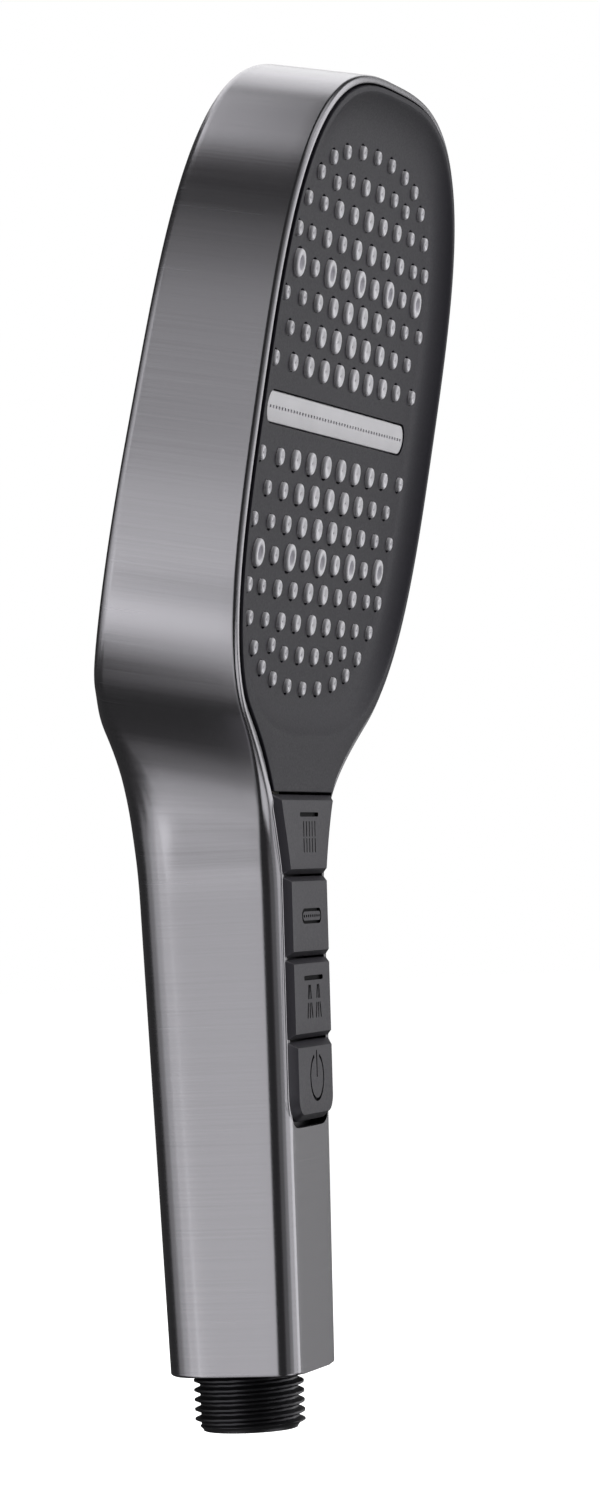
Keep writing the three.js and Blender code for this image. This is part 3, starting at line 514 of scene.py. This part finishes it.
def back_face(rail, start, lift):
    """Rows from the back edge to the centre line, on the back surface; near the top they slope down."""
    widest = int(np.argmax(rail.point[:, 0]))
    top = len(rail.z) - 1
    axis_z = start[:, 2].copy()
    rise = (rail.s[widest:] - rail.s[widest]) / (rail.s[top] - rail.s[widest])
    axis_z[widest:] = start[widest, 2] + rise * (start[top, 2] - start[widest, 2])
    rows = []
    for share in np.linspace(0, 1, ROWS["back"])[1:]:
        x = start[:, 0] * (1 - share)
        z = start[:, 2] + (axis_z - start[:, 2]) * share
        y = back_y(z) - lift
        near = np.clip(1 - share / BACK_JOIN_SHARE, 0, 1)
        rows.append(np.stack([x, y + (start[:, 1] - (back_y(start[:, 2]) - lift)) * near, z], 1))
    return rows


def casing_rows(rail):
    """The opening's edge, the rows outside from it to the back, the rows inside, and where the side's are."""
    front, back = blended(FRONT_RADIUS, rail.z), blended(BACK_RADIUS, rail.z)
    end = end_round(rail.z)
    side = []
    for angle in np.radians(np.linspace(0, 90, ROWS["front_round"])):
        drop = 1 - math.sin(angle), 1 - math.cos(angle)
        side.append(rail.at(end + front * drop[0], end + front * drop[1]))
    low, high = end + front, rail.depth - end - back
    for share in np.linspace(0, 1, ROWS["side"])[1:-1]:
        side.append(rail.at(end, low + (high - low) * share))
    for angle in np.radians(np.linspace(0, 90, ROWS["back_round"])):
        drop = [1 - max(part, 0) ** (2 / BACK_POWER) for part in (math.cos(angle), math.sin(angle))]
        side.append(rail.at(end + back * drop[0], rail.depth - end - back * drop[1]))

    edge = opening_edge(rail)
    start = side[0]
    front_rows = []
    open_edge = edge[:, 0] > 0
    for step in ROWS["lip"]:
        inset = LIP_EDGE * (1 - math.cos(step * math.pi / 2)) * open_edge
        sink = LIP_EDGE * (1 - math.sin(step * math.pi / 2)) * open_edge
        span = start[:, [0, 2]] - edge
        span = span / np.linalg.norm(span, axis=1, keepdims=True)
        x, z = (edge + span * inset[:, None]).T
        front_rows.append(on_front(x, z, sink))
    first = front_rows[-1]
    for share in np.linspace(0, 1, ROWS["front"])[1:-1]:
        x, z = (first[:, [0, 2]] * (1 - share) + start[:, [0, 2]] * share).T
        front_rows.append(on_front(x, z, np.zeros(len(x))))

    thicker = smooth_step(NECK_WALL["low"], NECK_WALL["high"], rail.z)
    inner_depth = WALL + (NECK_WALL["depth"] - WALL) * thicker
    wall_foot = on_front(edge[:, 0], edge[:, 1], inner_depth)
    inside = [wall_foot, rail.at(WALL, inner_depth + 0.01)]
    inner_back = np.maximum(back - WALL, INNER_CORNER)
    for angle in np.radians(QUARTER_TURN):
        drop = 1 - math.cos(angle), 1 - math.sin(angle)
        inside.append(rail.at(WALL + inner_back * drop[0], rail.depth - WALL - inner_back * drop[1]))
    outside = front_rows + side + back_face(rail, side[-1], 0)
    inside += back_face(rail, inside[-1], WALL)[2::3]
    inside[-1][:, 0] = 0
    outside, inside = np.array(outside), np.array(inside)
    for rows in (outside, inside):
        rows[:, 0, 2] = HANDLE_END_Z
    first = len(front_rows) - 1
    return edge, outside, inside, (first, first + len(side))


def brush_map(rail, rows):
    """Distance along the outline and across the band, for the brushing of the casing's sides."""
    across = along(rows[:, len(rail.z) // 2])
    maps = np.empty(rows.shape[:2] + (2,))
    maps[..., 0] = rail.s
    maps[..., 1] = across[:, None]
    return maps


def casing(finish):
    rail = Rail(casing_marks())
    edge, outside, inside, (first, last) = casing_rows(rail)

    def on_centre_line(_, j):
        return max(edge[j, 0], edge[j + 1, 0]) == 0

    surface = Surface()
    surface.grid(outside[:first + 1], mirror=True)
    surface.grid(outside[first:last], mirror=True, brush=brush_map(rail, outside)[first:last])
    surface.grid(outside[last - 1:], mirror=True)
    surface.grid(np.array([inside[0], outside[0]]), skip=on_centre_line, mirror=True)
    surface.grid(inside, mirror=True)
    loops = [mirrored_loop(rows[:, 0, :2]) for rows in (outside, inside)]
    surface.region(loops, partial(level, z=HANDLE_END_Z))
    surface.build(
        "casing", [finish], stands_for=["rear_shell"], smooth_below=40, bevelled=True)


# ---- Face ----

def drawn_in(loop, distance):
    """A closed anticlockwise loop moved inwards, point by point."""
    ahead = np.roll(loop, -1, axis=0) - loop
    ahead = ahead / np.linalg.norm(ahead, axis=1, keepdims=True)
    both = ahead + np.roll(ahead, 1, axis=0)
    left = np.stack([-both[:, 1], both[:, 0]], 1)
    return loop + left * 2 * distance / (both ** 2).sum(1, keepdims=True)


def face_opening():
    """The cover's outline: the casing's opening less a gap, with a straight lower edge above the keys."""
    rail = Rail(np.linspace(0, along(casing_outline())[-1], 1500))
    lip = rail.at(lip_width(rail.z) + COVER_GAP, 0)[:, [0, 2]]
    low = KEY_EDGES_Z[0] + GAP
    corner = np.array([np.interp(low, lip[:, 1], lip[:, 0]), low])
    side = spaced(np.vstack([corner, lip[lip[:, 1] > low + 0.01]]), 1.2)
    side[-1, 0] = 0
    return mirrored_loop(np.vstack([spaced(np.array([(0, low), corner]), 2)[:-1], side]))


def nozzles():
    """Nozzles of one half of the face: across, distance from the strip, radius."""
    row_pitch, first_row, column_pitch = 5.963, 8.65, 10
    radii = [(2.15, 2.1, 1.95, 1.6, 1.4), (2.15, 2.15, 1.95, 1.6, 1.35), (2.1, 1.9, 1.65, 1.35, 1.3),
             (2.6, 1.95, 2.6, 1.6, 2.6), (1.9, 1.6, 1.65, 1.35, 1.4), (1.95, 1.65, 1.65, 1.35, 1.35)]
    outermost = [46.5, 40, 45.5, 40, 43.3, 40]
    found = []
    for i, row in enumerate(radii):
        for k, radius in enumerate(row):
            u = outermost[i] if k == len(row) - 1 else column_pitch * (k + (0.5 if i % 2 == 0 else 0))
            found.append((u, first_row + row_pitch * i, radius))
    found += [(5, 44.3, 1.6), (15, 44.3, 1.35), (23.8, 43, 1.35), (34.5, 43.8, 1.35),
              (0, 50.6, 1.35), (10, 50.3, 1.35), (20, 49.2, 1.35), (28, 47.3, 1.35)]
    return found + [(-u, v, radius) for u, v, radius in found if u > 0]


def dish_loop():
    """The edge of the cover's dish, in face coordinates."""
    half = half_oval(DISH["half_width"], DISH["top"], DISH["bottom"], 2000)
    return mirrored_loop(spaced(half, 1.6))


def dish_depth(points):
    """Depth inside the dish: a slope that eases into the floor."""
    edge = mirrored_loop(spaced(half_oval(DISH["half_width"], DISH["top"], DISH["bottom"], 4000), EDGE_STEP))
    tree = KDTree(len(edge))
    for i, (u, v) in enumerate(edge):
        tree.insert((u, v, 0), i)
    tree.balance()
    inset = np.array([tree.find((u, v, 0))[2] for u, v in points])
    rest = 1 - np.clip((inset - EDGE_STEP) / DISH["slope_width"], 0, 1)
    return COVER_FRONT + (DISH["floor"] - COVER_FRONT) * (1 - rest ** DISH["easing"])


def in_dish(points):
    """Points given in face coordinates, on the dish."""
    return on_front(points[:, 0], lip_z(points[:, 1]), dish_depth(points))


def bend_points():
    """Points spread over the neck, where the cover bends between the handle's front and the lip plane."""
    columns = np.arange(-BEND["half_width"], BEND["half_width"] + 0.5, BEND["across"])
    rows = np.arange(KEY_EDGES_Z[0] + BEND["start"], BEND["end_z"], BEND["up"])
    x, z = np.meshgrid(columns, rows)
    return np.stack([x.ravel(), z.ravel()], 1)


def cover(finish):
    """The face cover: its rim, the neck part round the dish, the dish with its holes, and the back."""
    surface = Surface()
    outline = face_opening()
    rows = [under_front(outline, COVER_BACK)]
    for angle in np.radians(QUARTER_TURN):
        loop = drawn_in(outline, RIM_ROUND * (1 - math.cos(angle)))
        rows.append(under_front(loop, COVER_FRONT + RIM_ROUND * (1 - math.sin(angle))))
    surface.grid(rows, closed=True)

    dish = dish_loop()
    bend = bend_points()
    bend = bend[inside_count(bend, drawn_in(loop, BEND["margin"])) == 1]
    surface.region([loop, seen_from_front(dish)], partial(under_front, depth=COVER_FRONT), inner=bend)

    holes = [
        circle(u, side * (v + HOLE_OFFSET), radius + GAP)
        for side in (1, -1)
        for u, v, radius in nozzles()
    ]
    holes.append(bar(STRIP["length"] + 2 * GAP, STRIP["width"] + 2 * GAP))
    insets = DISH["slope_width"] * np.linspace(0, 1, SLOPE_STEPS)[1:] ** SLOPE_CROWDING
    slope = np.vstack([drawn_in(dish, inset) for inset in insets])
    clear = slope[sum(inside_count(slope, hole) for hole in holes) == 0]
    surface.region([dish, *holes], in_dish, inner=clear)
    for hole in holes:
        surface.grid([in_dish(hole), on_face(hole, COVER_BACK)], closed=True)
    surface.region([outline, *map(seen_from_front, holes)], partial(under_front, depth=COVER_BACK))
    surface.build("face_cover", [finish], stands_for=["front_cover"], smooth_below=20)


def mat_loop(side):
    """One half of the nozzle mat's oval, cut straight beside the strip."""
    half = half_oval(MAT_HALF_WIDTH, MAT_HALF_HEIGHT, MAT_HALF_HEIGHT, 600)
    corner = (np.interp(MAT_EDGE_V, half[:, 1], half[:, 0]), MAT_EDGE_V)
    half = spaced(np.vstack([(0, MAT_EDGE_V), corner, half[half[:, 1] > MAT_EDGE_V + 0.01]]), 3)
    half[-1, 0] = 0
    loop = mirrored_loop(half)
    return loop if side > 0 else loop[::-1] * (1, -1)


def stud_profile(radius):
    """A nozzle's profile from its root on the mat to the end of its jet hole: (radius, depth)."""
    profile = [(radius, MAT_FRONT), (radius, NOZZLE_TIP + NOZZLE_EDGE)]
    for angle in np.radians((22, 45, 68, 90)):
        drop = 1 - math.cos(angle), 1 - math.sin(angle)
        profile.append((radius - NOZZLE_EDGE * drop[0], NOZZLE_TIP + NOZZLE_EDGE * drop[1]))
    if radius == RING["radius"]:
        hole, jet = RING["hole"], RING["hole"]
        sunk = [(hole + 0.15, 0.01), (hole, 0.15), (jet, RING["depth"])]
    else:
        dimple, jet = DIMPLE_SHARE * radius, JET["radius"]
        sunk = [(dimple + 0.12, 0.01), (dimple, 0.1), (jet + 0.1, 0.16), (jet, 0.26), (jet, JET["depth"])]
    return profile + [(r, NOZZLE_TIP + depth) for r, depth in sunk]


def nozzle_mat(name, side, finish):
    """A soft mat with the nozzles of the face's upper (1) or lower (-1) half."""
    surface = Surface()
    outline = mat_loop(side)
    surface.grid([on_face(outline, MAT_BACK), on_face(outline, MAT_FRONT)], closed=True)
    surface.region([outline], partial(on_face, depth=MAT_BACK))
    roots = [circle(u, side * v, radius) for u, v, radius in nozzles()]
    surface.region([outline, *roots], partial(on_face, depth=MAT_FRONT))
    for u, v, radius in nozzles():
        rows = [on_face(circle(u, side * v, r), depth) for r, depth in stud_profile(radius)]
        surface.grid(rows, closed=True)
        surface.cap(rows[-1])
    surface.build(name + "_studs", [finish], stands_for=[name], smooth_below=50)


def strip(finish):
    """The wide spray strip across the face, with its row of small outlets."""
    surface = Surface()
    outline = bar(STRIP["length"], STRIP["width"], steps=12)
    face, edge = STRIP["face"], STRIP["edge"]
    rim = drawn_in(outline, edge)
    rows = [on_face(outline, MAT_FRONT), on_face(outline, face + edge),
            on_face(drawn_in(outline, 0.3 * edge), face + 0.3 * edge), on_face(rim, face)]
    surface.grid(rows, closed=True)
    slots = []
    for i in range(STRIP_SLOTS["count"]):
        u = (i - (STRIP_SLOTS["count"] - 1) / 2) * STRIP_SLOTS["pitch"]
        slots.append(bar(STRIP_SLOTS["length"], STRIP_SLOTS["width"], x=u, steps=3))
    surface.region([rim, *slots], partial(on_face, depth=face))
    for slot in slots:
        rows = [on_face(slot, face), on_face(slot, face + STRIP_SLOTS["depth"])]
        surface.grid(rows, closed=True)
        surface.cap(rows[-1])
    flange = bar(STRIP["flange_length"], STRIP["flange"], steps=12)
    surface.region([flange, outline], partial(on_face, depth=MAT_FRONT))
    surface.grid([on_face(flange, MAT_FRONT), on_face(flange, MAT_BACK)], closed=True)
    surface.region([flange], partial(on_face, depth=MAT_BACK))
    surface.build("spray_strip", [finish], stands_for=["blade_insert"], smooth_below=30)


# ---- Keys ----

def key_outline(index, inset):
    """A key's outline drawn in by an inset; the lowest key has large lower corners."""
    rise = inset * KEY_END_SHARE
    low = KEY_EDGES_Z[index + 1] + KEY_SLIT / 2 + rise
    high = KEY_EDGES_Z[index] - KEY_SLIT / 2 - rise
    if index == len(KEY_NAMES) - 1:
        low = SLOT["low"] + KEY_FOOT_GAP + rise
    corner = max(KEY_CORNER - inset, 0.1)
    low_corner = SLOT["corner"] - GAP - inset if index == len(KEY_NAMES) - 1 else corner

    def half(z):
        return slot_half_width(z) - GAP - inset

    arc = np.linspace(0, math.pi / 2, 13)
    lower = np.stack([half(low) - low_corner * (1 - np.sin(arc)), low + low_corner * (1 - np.cos(arc))], 1)
    upper = np.stack([half(high) - corner * (1 - np.cos(arc)), high - corner * (1 - np.sin(arc))], 1)
    z = np.linspace(low + low_corner, high - corner, 22)[1:-1]
    side = np.stack([half(z), z], 1)
    bottom = np.stack([np.linspace(0, lower[0, 0], 8)[:-1], np.full(7, low)], 1)
    top = np.stack([np.linspace(upper[-1, 0], 0, 8)[1:], np.full(7, high)], 1)
    return mirrored_loop(np.vstack([bottom, lower, side, upper, top]))


def stroke(start, end, width):
    """An engraved stroke with round ends between two points."""
    start, end = np.array(start, float), np.array(end, float)
    run = end - start
    turn = math.atan2(run[1], run[0])
    points = bar(math.hypot(*run) + width, width, steps=4)
    spin = np.array([(math.cos(turn), math.sin(turn)), (-math.sin(turn), math.cos(turn))])
    return points @ spin + (start + end) / 2


def arc_stroke(radius, width, low, high):
    """A stroke bent round a circle, between two angles in degrees."""
    angles = np.radians(np.linspace(low, high, 49))[:, None]
    ring = np.hstack([np.cos(angles), np.sin(angles)])
    return np.vstack([ring * (radius + width / 2), ring[::-1] * (radius - width / 2)])


def rain_icon():
    columns = np.arange(-2, 3) * 1.87
    rows = ((2.3, -0.25), (-0.95, -3.25))
    drops = [stroke((x, high), (x, low), 0.5) for high, low in rows for x in columns]
    return [bar(12.2, 0.85, y=3.8)] + drops


def blade_icon():
    dots = [stroke((x - 0.12, 0), (x + 0.12, 0), 0.55) for x in (np.arange(8) - 3.5) * 1.4]
    return [bar(12.7, 2.9, steps=6), bar(11.5, 1.7, steps=6)] + dots


def massage_icon():
    sprays = []
    for x in (-2.8, 2.8):
        for tilt in (-1, 0, 1):
            sprays.append(stroke((x + 0.55 * tilt, 2.3), (x + 1.0 * tilt, 0.0), 0.5))
            sprays.append(stroke((x + 1.1 * tilt, -1.1), (x + 1.6 * tilt, -3.6), 0.55))
    return [bar(12.4, 0.9, y=3.8)] + sprays


def pause_icon():
    return [arc_stroke(4.3, 0.6, 112, 428), stroke((0, 4.8), (0, 0.2), 0.6)]


ICONS = {"rain": rain_icon, "blade": blade_icon, "massage": massage_icon, "pause": pause_icon}


def key(index, finish, engraved):
    """One key: sides, a wide bevel, a face with an engraved icon whose walls and floor get a much darker
    finish as painted shade, and the post behind it.
    """
    name = KEY_NAMES[index]
    size = "last" if name == KEY_NAMES[-1] else "first"
    bevel, proud = KEY_BEVEL[size], KEY_PROUD[size]
    foot, soft = KEY_FOOT_DEPTH, KEY_EDGE
    profile = [
        (0, foot + soft), (soft * 0.3, foot + soft * 0.1), (soft, foot - soft),
        (bevel - soft, soft - proud), (bevel - soft * 0.2, soft * 0.2 - proud), (bevel + soft, -proud),
    ]
    surface = Surface()
    back = key_outline(index, 0)
    rows = [upright(back, KEY_BACK_Y)]
    for inset, depth in profile:
        loop = key_outline(index, inset)
        rows.append(under_front(loop, depth))
    surface.grid(rows, closed=True)
    centre = (0, (KEY_EDGES_Z[index] + KEY_EDGES_Z[index + 1]) / 2)
    icon = [shape + centre + (ICON_SHIFT, 0) for shape in ICONS[name]()]
    floor_depth = ICON_DEPTH - proud
    surface.region([loop, *icon], partial(under_front, depth=-proud))
    for shape in icon:
        # The icon's walls and floor take the second, much darker finish: painted shade in the engraving.
        surface.grid([under_front(shape, -proud), under_front(shape, floor_depth)], closed=True, finish=1)
    surface.region(icon, partial(under_front, depth=floor_depth), finish=1)
    post = np.array([(-1, -1), (1, -1), (1, 1), (-1, 1)]) * POST_HALF + centre
    surface.region([back, post], partial(upright, y=KEY_BACK_Y))
    surface.grid([upright(post, KEY_BACK_Y), upright(post, POST_END_Y)], closed=True)
    surface.region([post], partial(upright, y=POST_END_Y))
    surface.build(
        "key_cap_" + name, [finish, engraved], body=name + "_key", stands_for=["key_" + name],
        smooth_below=28)


# ---- Inlet ----

def ring_at(radius, z):
    """A ring round the vertical axis at a height; the radius is one number, or one for each point."""
    return level(circle(0, 0, 1, THREAD_SIDES) * np.reshape(radius, (-1, 1)), z)


def connector(finish):
    """The hose thread and the tube behind it, turned about the vertical axis."""
    surface = Surface()
    angles = np.linspace(0, 2 * np.pi, THREAD_SIDES, endpoint=False)
    low, high, pitch = THREAD["low"], THREAD["high"], THREAD["pitch"]
    rows = [ring_at(radius, z) for radius, z in CONNECTOR_NOSE]
    for z in np.arange(low, high, pitch / THREAD_STEPS):
        wave = np.clip(0.5 + THREAD_STEEPNESS * np.cos(z / pitch * 2 * np.pi - angles), 0, 1)
        fade = np.clip((z - low) / THREAD["fade_in"], 0, 1) * np.clip((high - z) / THREAD["fade_out"], 0, 1)
        rows.append(ring_at(THREAD["root"] + (THREAD["outer"] - THREAD["root"]) * wave * fade, z))
    rows += [ring_at(radius, z) for radius, z in CONNECTOR_TUBE]
    surface.grid(rows, closed=True)
    surface.build("hose_thread", [finish], stands_for=["inlet_connector"])


def end_cap(finish):
    """The plug in the handle's end, round the connector."""
    surface = Surface()
    inside = casing_rows(Rail(casing_marks()))[2]
    outline = drawn_in(mirrored_loop(inside[:, 0, :2]), GAP)
    hole = circle(0, 0, PLUG["hole"], 96)
    low, high, edge = HANDLE_END_Z + PLUG["low"], HANDLE_END_Z + PLUG["high"], PLUG["edge"]
    rims = drawn_in(outline, edge), drawn_in(hole, -edge)
    surface.region(rims, partial(level, z=low))
    for loop, rim in zip((outline, hole), rims):
        surface.grid([level(rim, low), level(loop, low + edge), level(loop, high)], closed=True)
    surface.region([outline, hole], partial(level, z=high))
    surface.build("end_plug", [finish], stands_for=["handle_end_cap"])


# ---- Materials ----

def new_material(name, colour, roughness, metallic=0.0, specular=0.5):
    """A material with its nodes, its links and its shader."""
    material = bpy.data.materials.new(name)
    material.use_nodes = True
    shader = material.node_tree.nodes["Principled BSDF"]
    shader.inputs["Base Color"].default_value = (*colour, 1)
    shader.inputs["Roughness"].default_value = roughness
    shader.inputs["Metallic"].default_value = metallic
    shader.inputs["Specular IOR Level"].default_value = specular
    return material, material.node_tree.nodes, material.node_tree.links, shader


def noise(nodes, links, vector, scale):
    """Smooth noise over a vector."""
    texture = nodes.new("ShaderNodeTexNoise")
    texture.inputs["Scale"].default_value = scale
    texture.inputs["Detail"].default_value = 3.0
    links.new(vector, texture.inputs["Vector"])
    return texture.outputs["Fac"]


def spread(nodes, links, value, low, high):
    """A noise value, spread over a range."""
    node = nodes.new("ShaderNodeMapRange")
    node.inputs["From Min"].default_value, node.inputs["From Max"].default_value = NOISE_RANGE
    node.inputs["To Min"].default_value = low
    node.inputs["To Max"].default_value = high
    links.new(value, node.inputs["Value"])
    return node.outputs["Result"]


def tinted(nodes, links, shader, colour, amount):
    """Multiplies the base colour by a value."""
    scaled = nodes.new("ShaderNodeVectorMath")
    scaled.operation = "SCALE"
    scaled.inputs[0].default_value = colour
    links.new(amount, scaled.inputs["Scale"])
    links.new(scaled.outputs["Vector"], shader.inputs["Base Color"])


def bumped(nodes, links, shader, height, distance):
    """Bumps the surface by a value."""
    bump = nodes.new("ShaderNodeBump")
    bump.inputs["Distance"].default_value = distance
    links.new(height, bump.inputs["Height"])
    links.new(bump.outputs["Normal"], shader.inputs["Normal"])


def uneven(nodes, links, shader, colour, roughness, value, spreads):
    """Lets a noise value change a metal's tint and gloss by the given spreads."""
    tint, gloss = spreads["tint"], spreads["gloss"]
    tinted(nodes, links, shader, colour, spread(nodes, links, value, 1 - tint, 1 + tint))
    links.new(spread(nodes, links, value, roughness - gloss, roughness + gloss), shader.inputs["Roughness"])


def moulded(name, colour, roughness, specular=0.5, grain=2600, depth=0.000012, blotch=0.05, wobble=0.05):
    """Moulded plastic or rubber: a fine grain, with slightly uneven colour and gloss."""
    material, nodes, links, shader = new_material(name, colour, roughness, specular=specular)
    shader.inputs["Specular Tint"].default_value = COOL
    place = nodes.new("ShaderNodeTexCoord").outputs["Object"]
    fine, broad = noise(nodes, links, place, grain), noise(nodes, links, place, BLOTCH_SCALE)
    tinted(nodes, links, shader, colour, spread(nodes, links, broad, 1 - blotch, 1 + blotch))
    links.new(spread(nodes, links, fine, roughness - wobble, roughness + wobble), shader.inputs["Roughness"])
    bumped(nodes, links, shader, fine, depth)
    return material


def brushed(name, colour, roughness, anisotropy):
    """Brushed metal: fine streaks across the length, which also stretch its highlights along it."""
    material, nodes, links, shader = new_material(name, colour, roughness, metallic=1.0)
    shader.inputs["Anisotropic"].default_value = anisotropy
    tangent = nodes.new("ShaderNodeTangent")
    tangent.direction_type = "UV_MAP"
    tangent.uv_map = "brush"
    links.new(tangent.outputs["Tangent"], shader.inputs["Tangent"])
    brush = nodes.new("ShaderNodeUVMap")
    brush.uv_map = "brush"
    streaks = []
    for scale in BRUSH_SCALES:
        stretch = nodes.new("ShaderNodeMapping")
        stretch.inputs["Scale"].default_value = scale
        links.new(brush.outputs["UV"], stretch.inputs["Vector"])
        streaks.append(noise(nodes, links, stretch.outputs["Vector"], 1.0))
    both = nodes.new("ShaderNodeMath")
    both.operation = "MULTIPLY_ADD"
    both.inputs[1].default_value = 0.5
    links.new(streaks[0], both.inputs[0])
    half = nodes.new("ShaderNodeMath")
    half.operation = "MULTIPLY"
    half.inputs[1].default_value = 0.5
    links.new(streaks[1], half.inputs[0])
    links.new(half.outputs[0], both.inputs[2])
    uneven(nodes, links, shader, colour, roughness, both.outputs[0], BRUSHING)
    bumped(nodes, links, shader, both.outputs[0], BRUSHING["depth"])
    return material


def turned_steel(name, colour, roughness):
    """Bare steel wire and screws: fine drawing marks along the piece."""
    material, nodes, links, shader = new_material(name, colour, roughness, metallic=1.0)
    place = nodes.new("ShaderNodeTexCoord").outputs["Object"]
    marks = noise(nodes, links, place, DRAWING["scale"])
    uneven(nodes, links, shader, colour, roughness, marks, DRAWING)
    return material


# ---- Camera and surroundings ----

def direction(azimuth, elevation):
    """The direction from the object towards a place around it, from angles in degrees."""
    az, el = math.radians(azimuth), math.radians(elevation)
    return Vector((math.sin(az) * math.cos(el), -math.cos(az) * math.cos(el), math.sin(el)))


def camera():
    """The viewing angle: level with the handle, almost side on, tilted slightly."""
    azimuth, elevation, roll = VIEW["angles"]
    away = direction(azimuth, elevation)
    across = Vector((math.cos(math.radians(azimuth)), math.sin(math.radians(azimuth)), 0))
    upwards = away.cross(across)
    right = across * math.cos(math.radians(roll)) + upwards * math.sin(math.radians(roll))
    turn = Matrix((right, away.cross(right), away)).transposed()
    lens = bpy.data.cameras.new("camera")
    lens.lens = LENS["length"]
    lens.sensor_width = LENS["sensor"]
    lens.clip_start = LENS["nearest"]
    holder = bpy.data.objects.new("camera", lens)
    place = (Vector(VIEW["target"]) + away * VIEW["distance"]) * MM
    holder.matrix_world = Matrix.Translation(place) @ turn.to_4x4()
    bpy.context.scene.collection.objects.link(holder)
    bpy.context.scene.camera = holder


def panel(name, azimuth, elevation, radiance, width, height):
    """A soft panel light in a direction from the middle of the object, facing it."""
    away = direction(azimuth, elevation)
    light = bpy.data.lights.new(name, "AREA")
    light.shape = "RECTANGLE"
    light.size, light.size_y = width, height
    light.energy = radiance * math.pi * width * height
    holder = bpy.data.objects.new(name, light)
    holder.visible_camera = False
    holder.location = Vector(PANEL_CENTRE) + away * PANEL_DISTANCE
    holder.rotation_euler = away.to_track_quat("Z", "Y").to_euler()
    bpy.context.scene.collection.objects.link(holder)


def surroundings():
    """White where the camera sees past the floor, and a dim even glow on the object."""
    world = bpy.data.worlds.new("studio")
    world.use_nodes = True
    nodes, links = world.node_tree.nodes, world.node_tree.links
    glow, seen, ray = nodes["Background"], nodes.new("ShaderNodeBackground"), nodes.new("ShaderNodeLightPath")
    glow.inputs["Strength"].default_value = GLOW
    seen.inputs["Color"].default_value = (1, 1, 1, 1)
    glow.inputs["Color"].default_value = (1, 1, 1, 1)
    mix = nodes.new("ShaderNodeMixShader")
    links.new(ray.outputs["Is Camera Ray"], mix.inputs["Fac"])
    links.new(glow.outputs[0], mix.inputs[1])
    links.new(seen.outputs[0], mix.inputs[2])
    links.new(mix.outputs[0], nodes["World Output"].inputs["Surface"])
    bpy.context.scene.world = world
    bpy.context.scene.view_settings.view_transform = "Standard"


def floor():
    """A plain pale floor that glows evenly and leaves the object's own light alone."""
    mesh = bpy.data.meshes.new("floor")
    half = FLOOR["half"]
    corners = [(-half, -half), (half, -half), (half, half), (-half, half)]
    mesh.from_pydata([(x, y, FLOOR["z"]) for x, y in corners], [], [(0, 1, 2, 3)])
    paper = bpy.data.materials.new("floor_paper")
    paper.use_nodes = True
    shader = paper.node_tree.nodes["Principled BSDF"]
    shader.inputs["Base Color"].default_value = (FLOOR["grey"],) * 3 + (1,)
    shader.inputs["Roughness"].default_value = 1.0
    shader.inputs["Specular IOR Level"].default_value = 0
    shader.inputs["Emission Color"].default_value = (1, 1, 1, 1)
    shader.inputs["Emission Strength"].default_value = FLOOR["glow"]
    mesh.materials.append(paper)
    sheet = bpy.data.objects.new("floor", mesh)
    sheet.visible_glossy = False
    sheet.visible_diffuse = False
    bpy.context.scene.collection.objects.link(sheet)


camera()
surroundings()
floor()
for number, light in enumerate(PANELS):
    panel(f"panel_{number}", *light)

gunmetal = brushed("gunmetal", (0.285, 0.279, 0.298), 0.25, 0.5)
charcoal = moulded("charcoal", (0.012, 0.0108, 0.0175), 0.5, specular=0.24)
key_plastic = moulded("key_plastic", (0.029, 0.027, 0.0345), 0.48, specular=0.38)
# The icon recesses get a much darker copy of the key plastic: painted shade.
key_engraving_shade = moulded("key_engraving_shade", (0.004, 0.004, 0.005), 0.7, specular=0.1)
black = moulded("black_plastic", (0.012, 0.012, 0.013), 0.4)
silicone = moulded("silicone", (0.88, 0.87, 0.91), 0.5, grain=1800)
insert = moulded("insert", (0.8, 0.79, 0.82), 0.45)
rubber = moulded("seal_rubber", (0.02, 0.02, 0.022), 0.7)
acetal = moulded("inner_plastic", (0.76, 0.74, 0.68), 0.45)
steel = turned_steel("steel", (0.5, 0.5, 0.52), 0.3)

casing(gunmetal)
cover(charcoal)
nozzle_mat("upper_nozzle_mat", 1, silicone)
nozzle_mat("lower_nozzle_mat", -1, silicone)
strip(insert)
for number in range(len(KEY_NAMES)):
    key(number, key_plastic, key_engraving_shade)
connector(black)
end_cap(black)

# The pieces inside keep their shapes and get the finish of what they are made of, except the key frame, whose
# black finish is painted shade so the gap below the lowest key reads dark.
INSIDE = {
    steel: ("screw", "spring", "filter_screen"),
    rubber: ("seal", "gasket"),
    # Painted shade: the key frame takes the black finish so it reads dark through the gap below the lowest
    # key.
    black: ("frame",),
    acetal: ("tube", "plunger", "chamber", "valve", "restrictor", "slide"),
}
for node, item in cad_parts.items():
    for finish, words in INSIDE.items():
        if any(word in node for word in words):
            item.data.materials.clear()
            item.data.materials.append(finish)
            break
